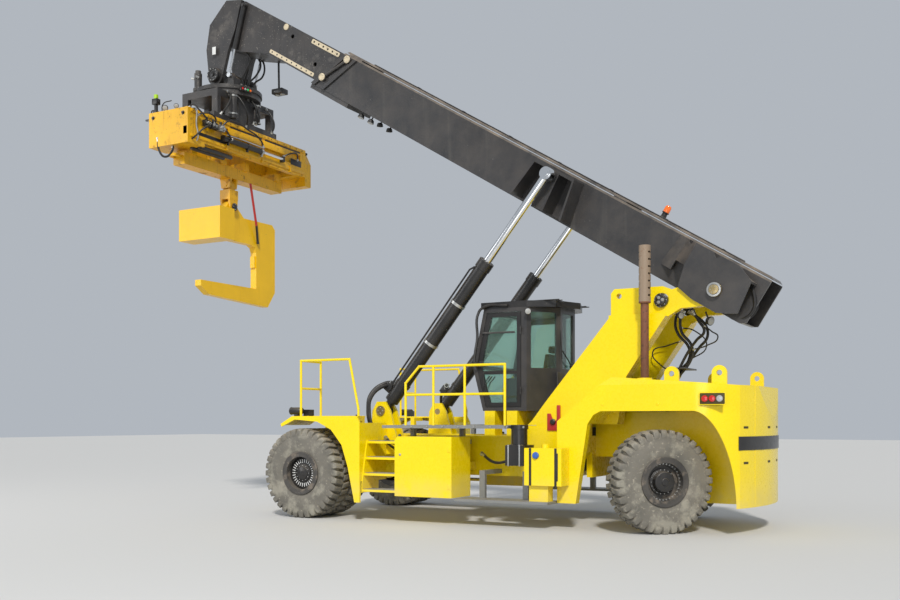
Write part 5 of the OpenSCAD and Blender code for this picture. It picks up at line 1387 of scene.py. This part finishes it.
def make_left_parts():
    """Trim of the tank, the air cleaner and the battery switch, and the lines behind the steps."""
    body = "chassis"
    turned("Tank_cap", BLUE_CAP, body, [(-0.01, 0.055), (0.03, 0.055), (0.04, 0.046)],
           facing((0, 1, 0.25), at(-4.60, 1.915, 1.20)), 24, 0.004)
    block("Sight_strip", BLACK, body, at(-4.98, 1.918, 0.80), at(-4.955, 1.926, 1.24), 0.002)
    for i, x in enumerate((-4.50, -4.94), 1):
        block("Tank_band_%d" % i, BLACK, body, (-0.02, -0.004, -0.30), (0.02, 0.004, 0.30), 0.002,
              moved(at(x, 1.923, 1.02)))
    for i, x in enumerate((-4.10, -4.30), 1):
        block("Cleaner_band_%d" % i, ZINC, body, (-0.012, -0.206, -0.008), (0.012, 0.206, 0.340), 0.004,
              moved(at(x, 1.70, 1.028)))
    block("Switch_post", RED_PAINT, body, at(-4.60, 0.90, 1.60), at(-4.54, 0.935, 2.02), 0.006)
    plate("Switch_bracket", RED_PAINT, body, [SWITCH_WEDGE], 0.02, facing(ACROSS, at(-4.36, 0.90, 1.75)))
    turned("Switch_knob", BLACK, body, [(0, 0.05), (0.03, 0.05), (0.04, 0.035)],
           facing(ACROSS, at(-4.47, 0.92, 1.74)), 20, 0.003)
    hose_set("Frame_line", body, at, FRAME_LINES, 0.024)


# Rear body

TAIL_X = -7.91
TAIL_ROUND = 3.5
LENS_STEP = 0.112
REAR_SLOTS = ((1.12, 1.64), (0.30, 1.64), (1.12, 1.10), (0.30, 1.10))


def curved_strip(name, material, y0, y1, z0, z1, thick):
    """A plate that follows the rounded tail."""
    piece = raw_block((-thick, y0, z0), (0.004, y1, z1), 0.003)
    bpy.ops.object.mode_set(mode="EDIT")
    bpy.ops.mesh.select_all(action="SELECT")
    bpy.ops.mesh.subdivide(number_cuts=7)
    bpy.ops.object.mode_set(mode="OBJECT")
    for vertex in piece.data.vertices:
        vertex.co.x += TAIL_X + TAIL_ROUND - math.sqrt(TAIL_ROUND ** 2 - vertex.co.y ** 2)
    settle(name, material, "chassis", moved(at(0, 0, 0)))


def make_rear_parts():
    body = "chassis"
    for side, name in SIDES:
        panel = outward(side, at(-7.34, side * 1.602, 2.09))
        # Painted shade: the dark panel inside each lamp's rim
        block("Lamp_panel_" + name, SHADOW, body, (-0.19, -0.085, -0.006), (0.19, 0.085, 0.006), 0.004, panel)
        for i, lens in enumerate((RED_LENS, RED_LENS, WHITE_LENS)):
            spot = panel @ moved((side * (-0.115 + LENS_STEP * i), 0, 0.004))
            turned("Tail_lens_%s_%d" % (name, i + 1), lens, body, [(0, 0.050), (0.012, 0.050), (0.022, 0.040),
                   (0.026, 0.014)], spot, 28)
        rim = [rectangle(-0.20, -0.095, 0.20, 0.095, 0.02), rectangle(-0.188, -0.083, 0.188, 0.083, 0.015)]
        plate("Lamp_rim_" + name, YELLOW, body, rim, 0.016, panel)
        for i, x in enumerate((-5.6, -6.5), 1):
            turned("Cover_bolt_%s_%d" % (name, i), YELLOW, body, [(-0.005, 0.028), (0.006, 0.024),
                   (0.008, 0.012)], outward(side, at(x, side * 1.60, 2.02)), 16)
    curved_strip("Rear_plate", BLACK, -1.30, 1.30, 1.31, 1.52, 0.012)
    # Painted shade: thin dark strips where the tail has slots
    for i, (y, z) in enumerate(REAR_SLOTS, 1):
        for side, name in SIDES:
            y0, y1 = side * y - 0.06, side * y + 0.06
            curved_strip("Rear_slot_%s_%d" % (name, i), SHADOW, y0, y1, z, z + 0.035, 0.004)


make_camera()
make_studio()
make_floor()
dress_nodes()
make_tyres()
make_rims()
make_boom_sides()
make_boom_back()
make_tower_hoses()
make_lift_parts()
make_head_parts()
make_spreader_faces()
make_spreader_lines()
make_spreader_ends()
make_hook_parts()
make_seat()
make_cab_parts()
make_treads()
make_chassis_sides()
make_left_parts()
make_rear_parts()
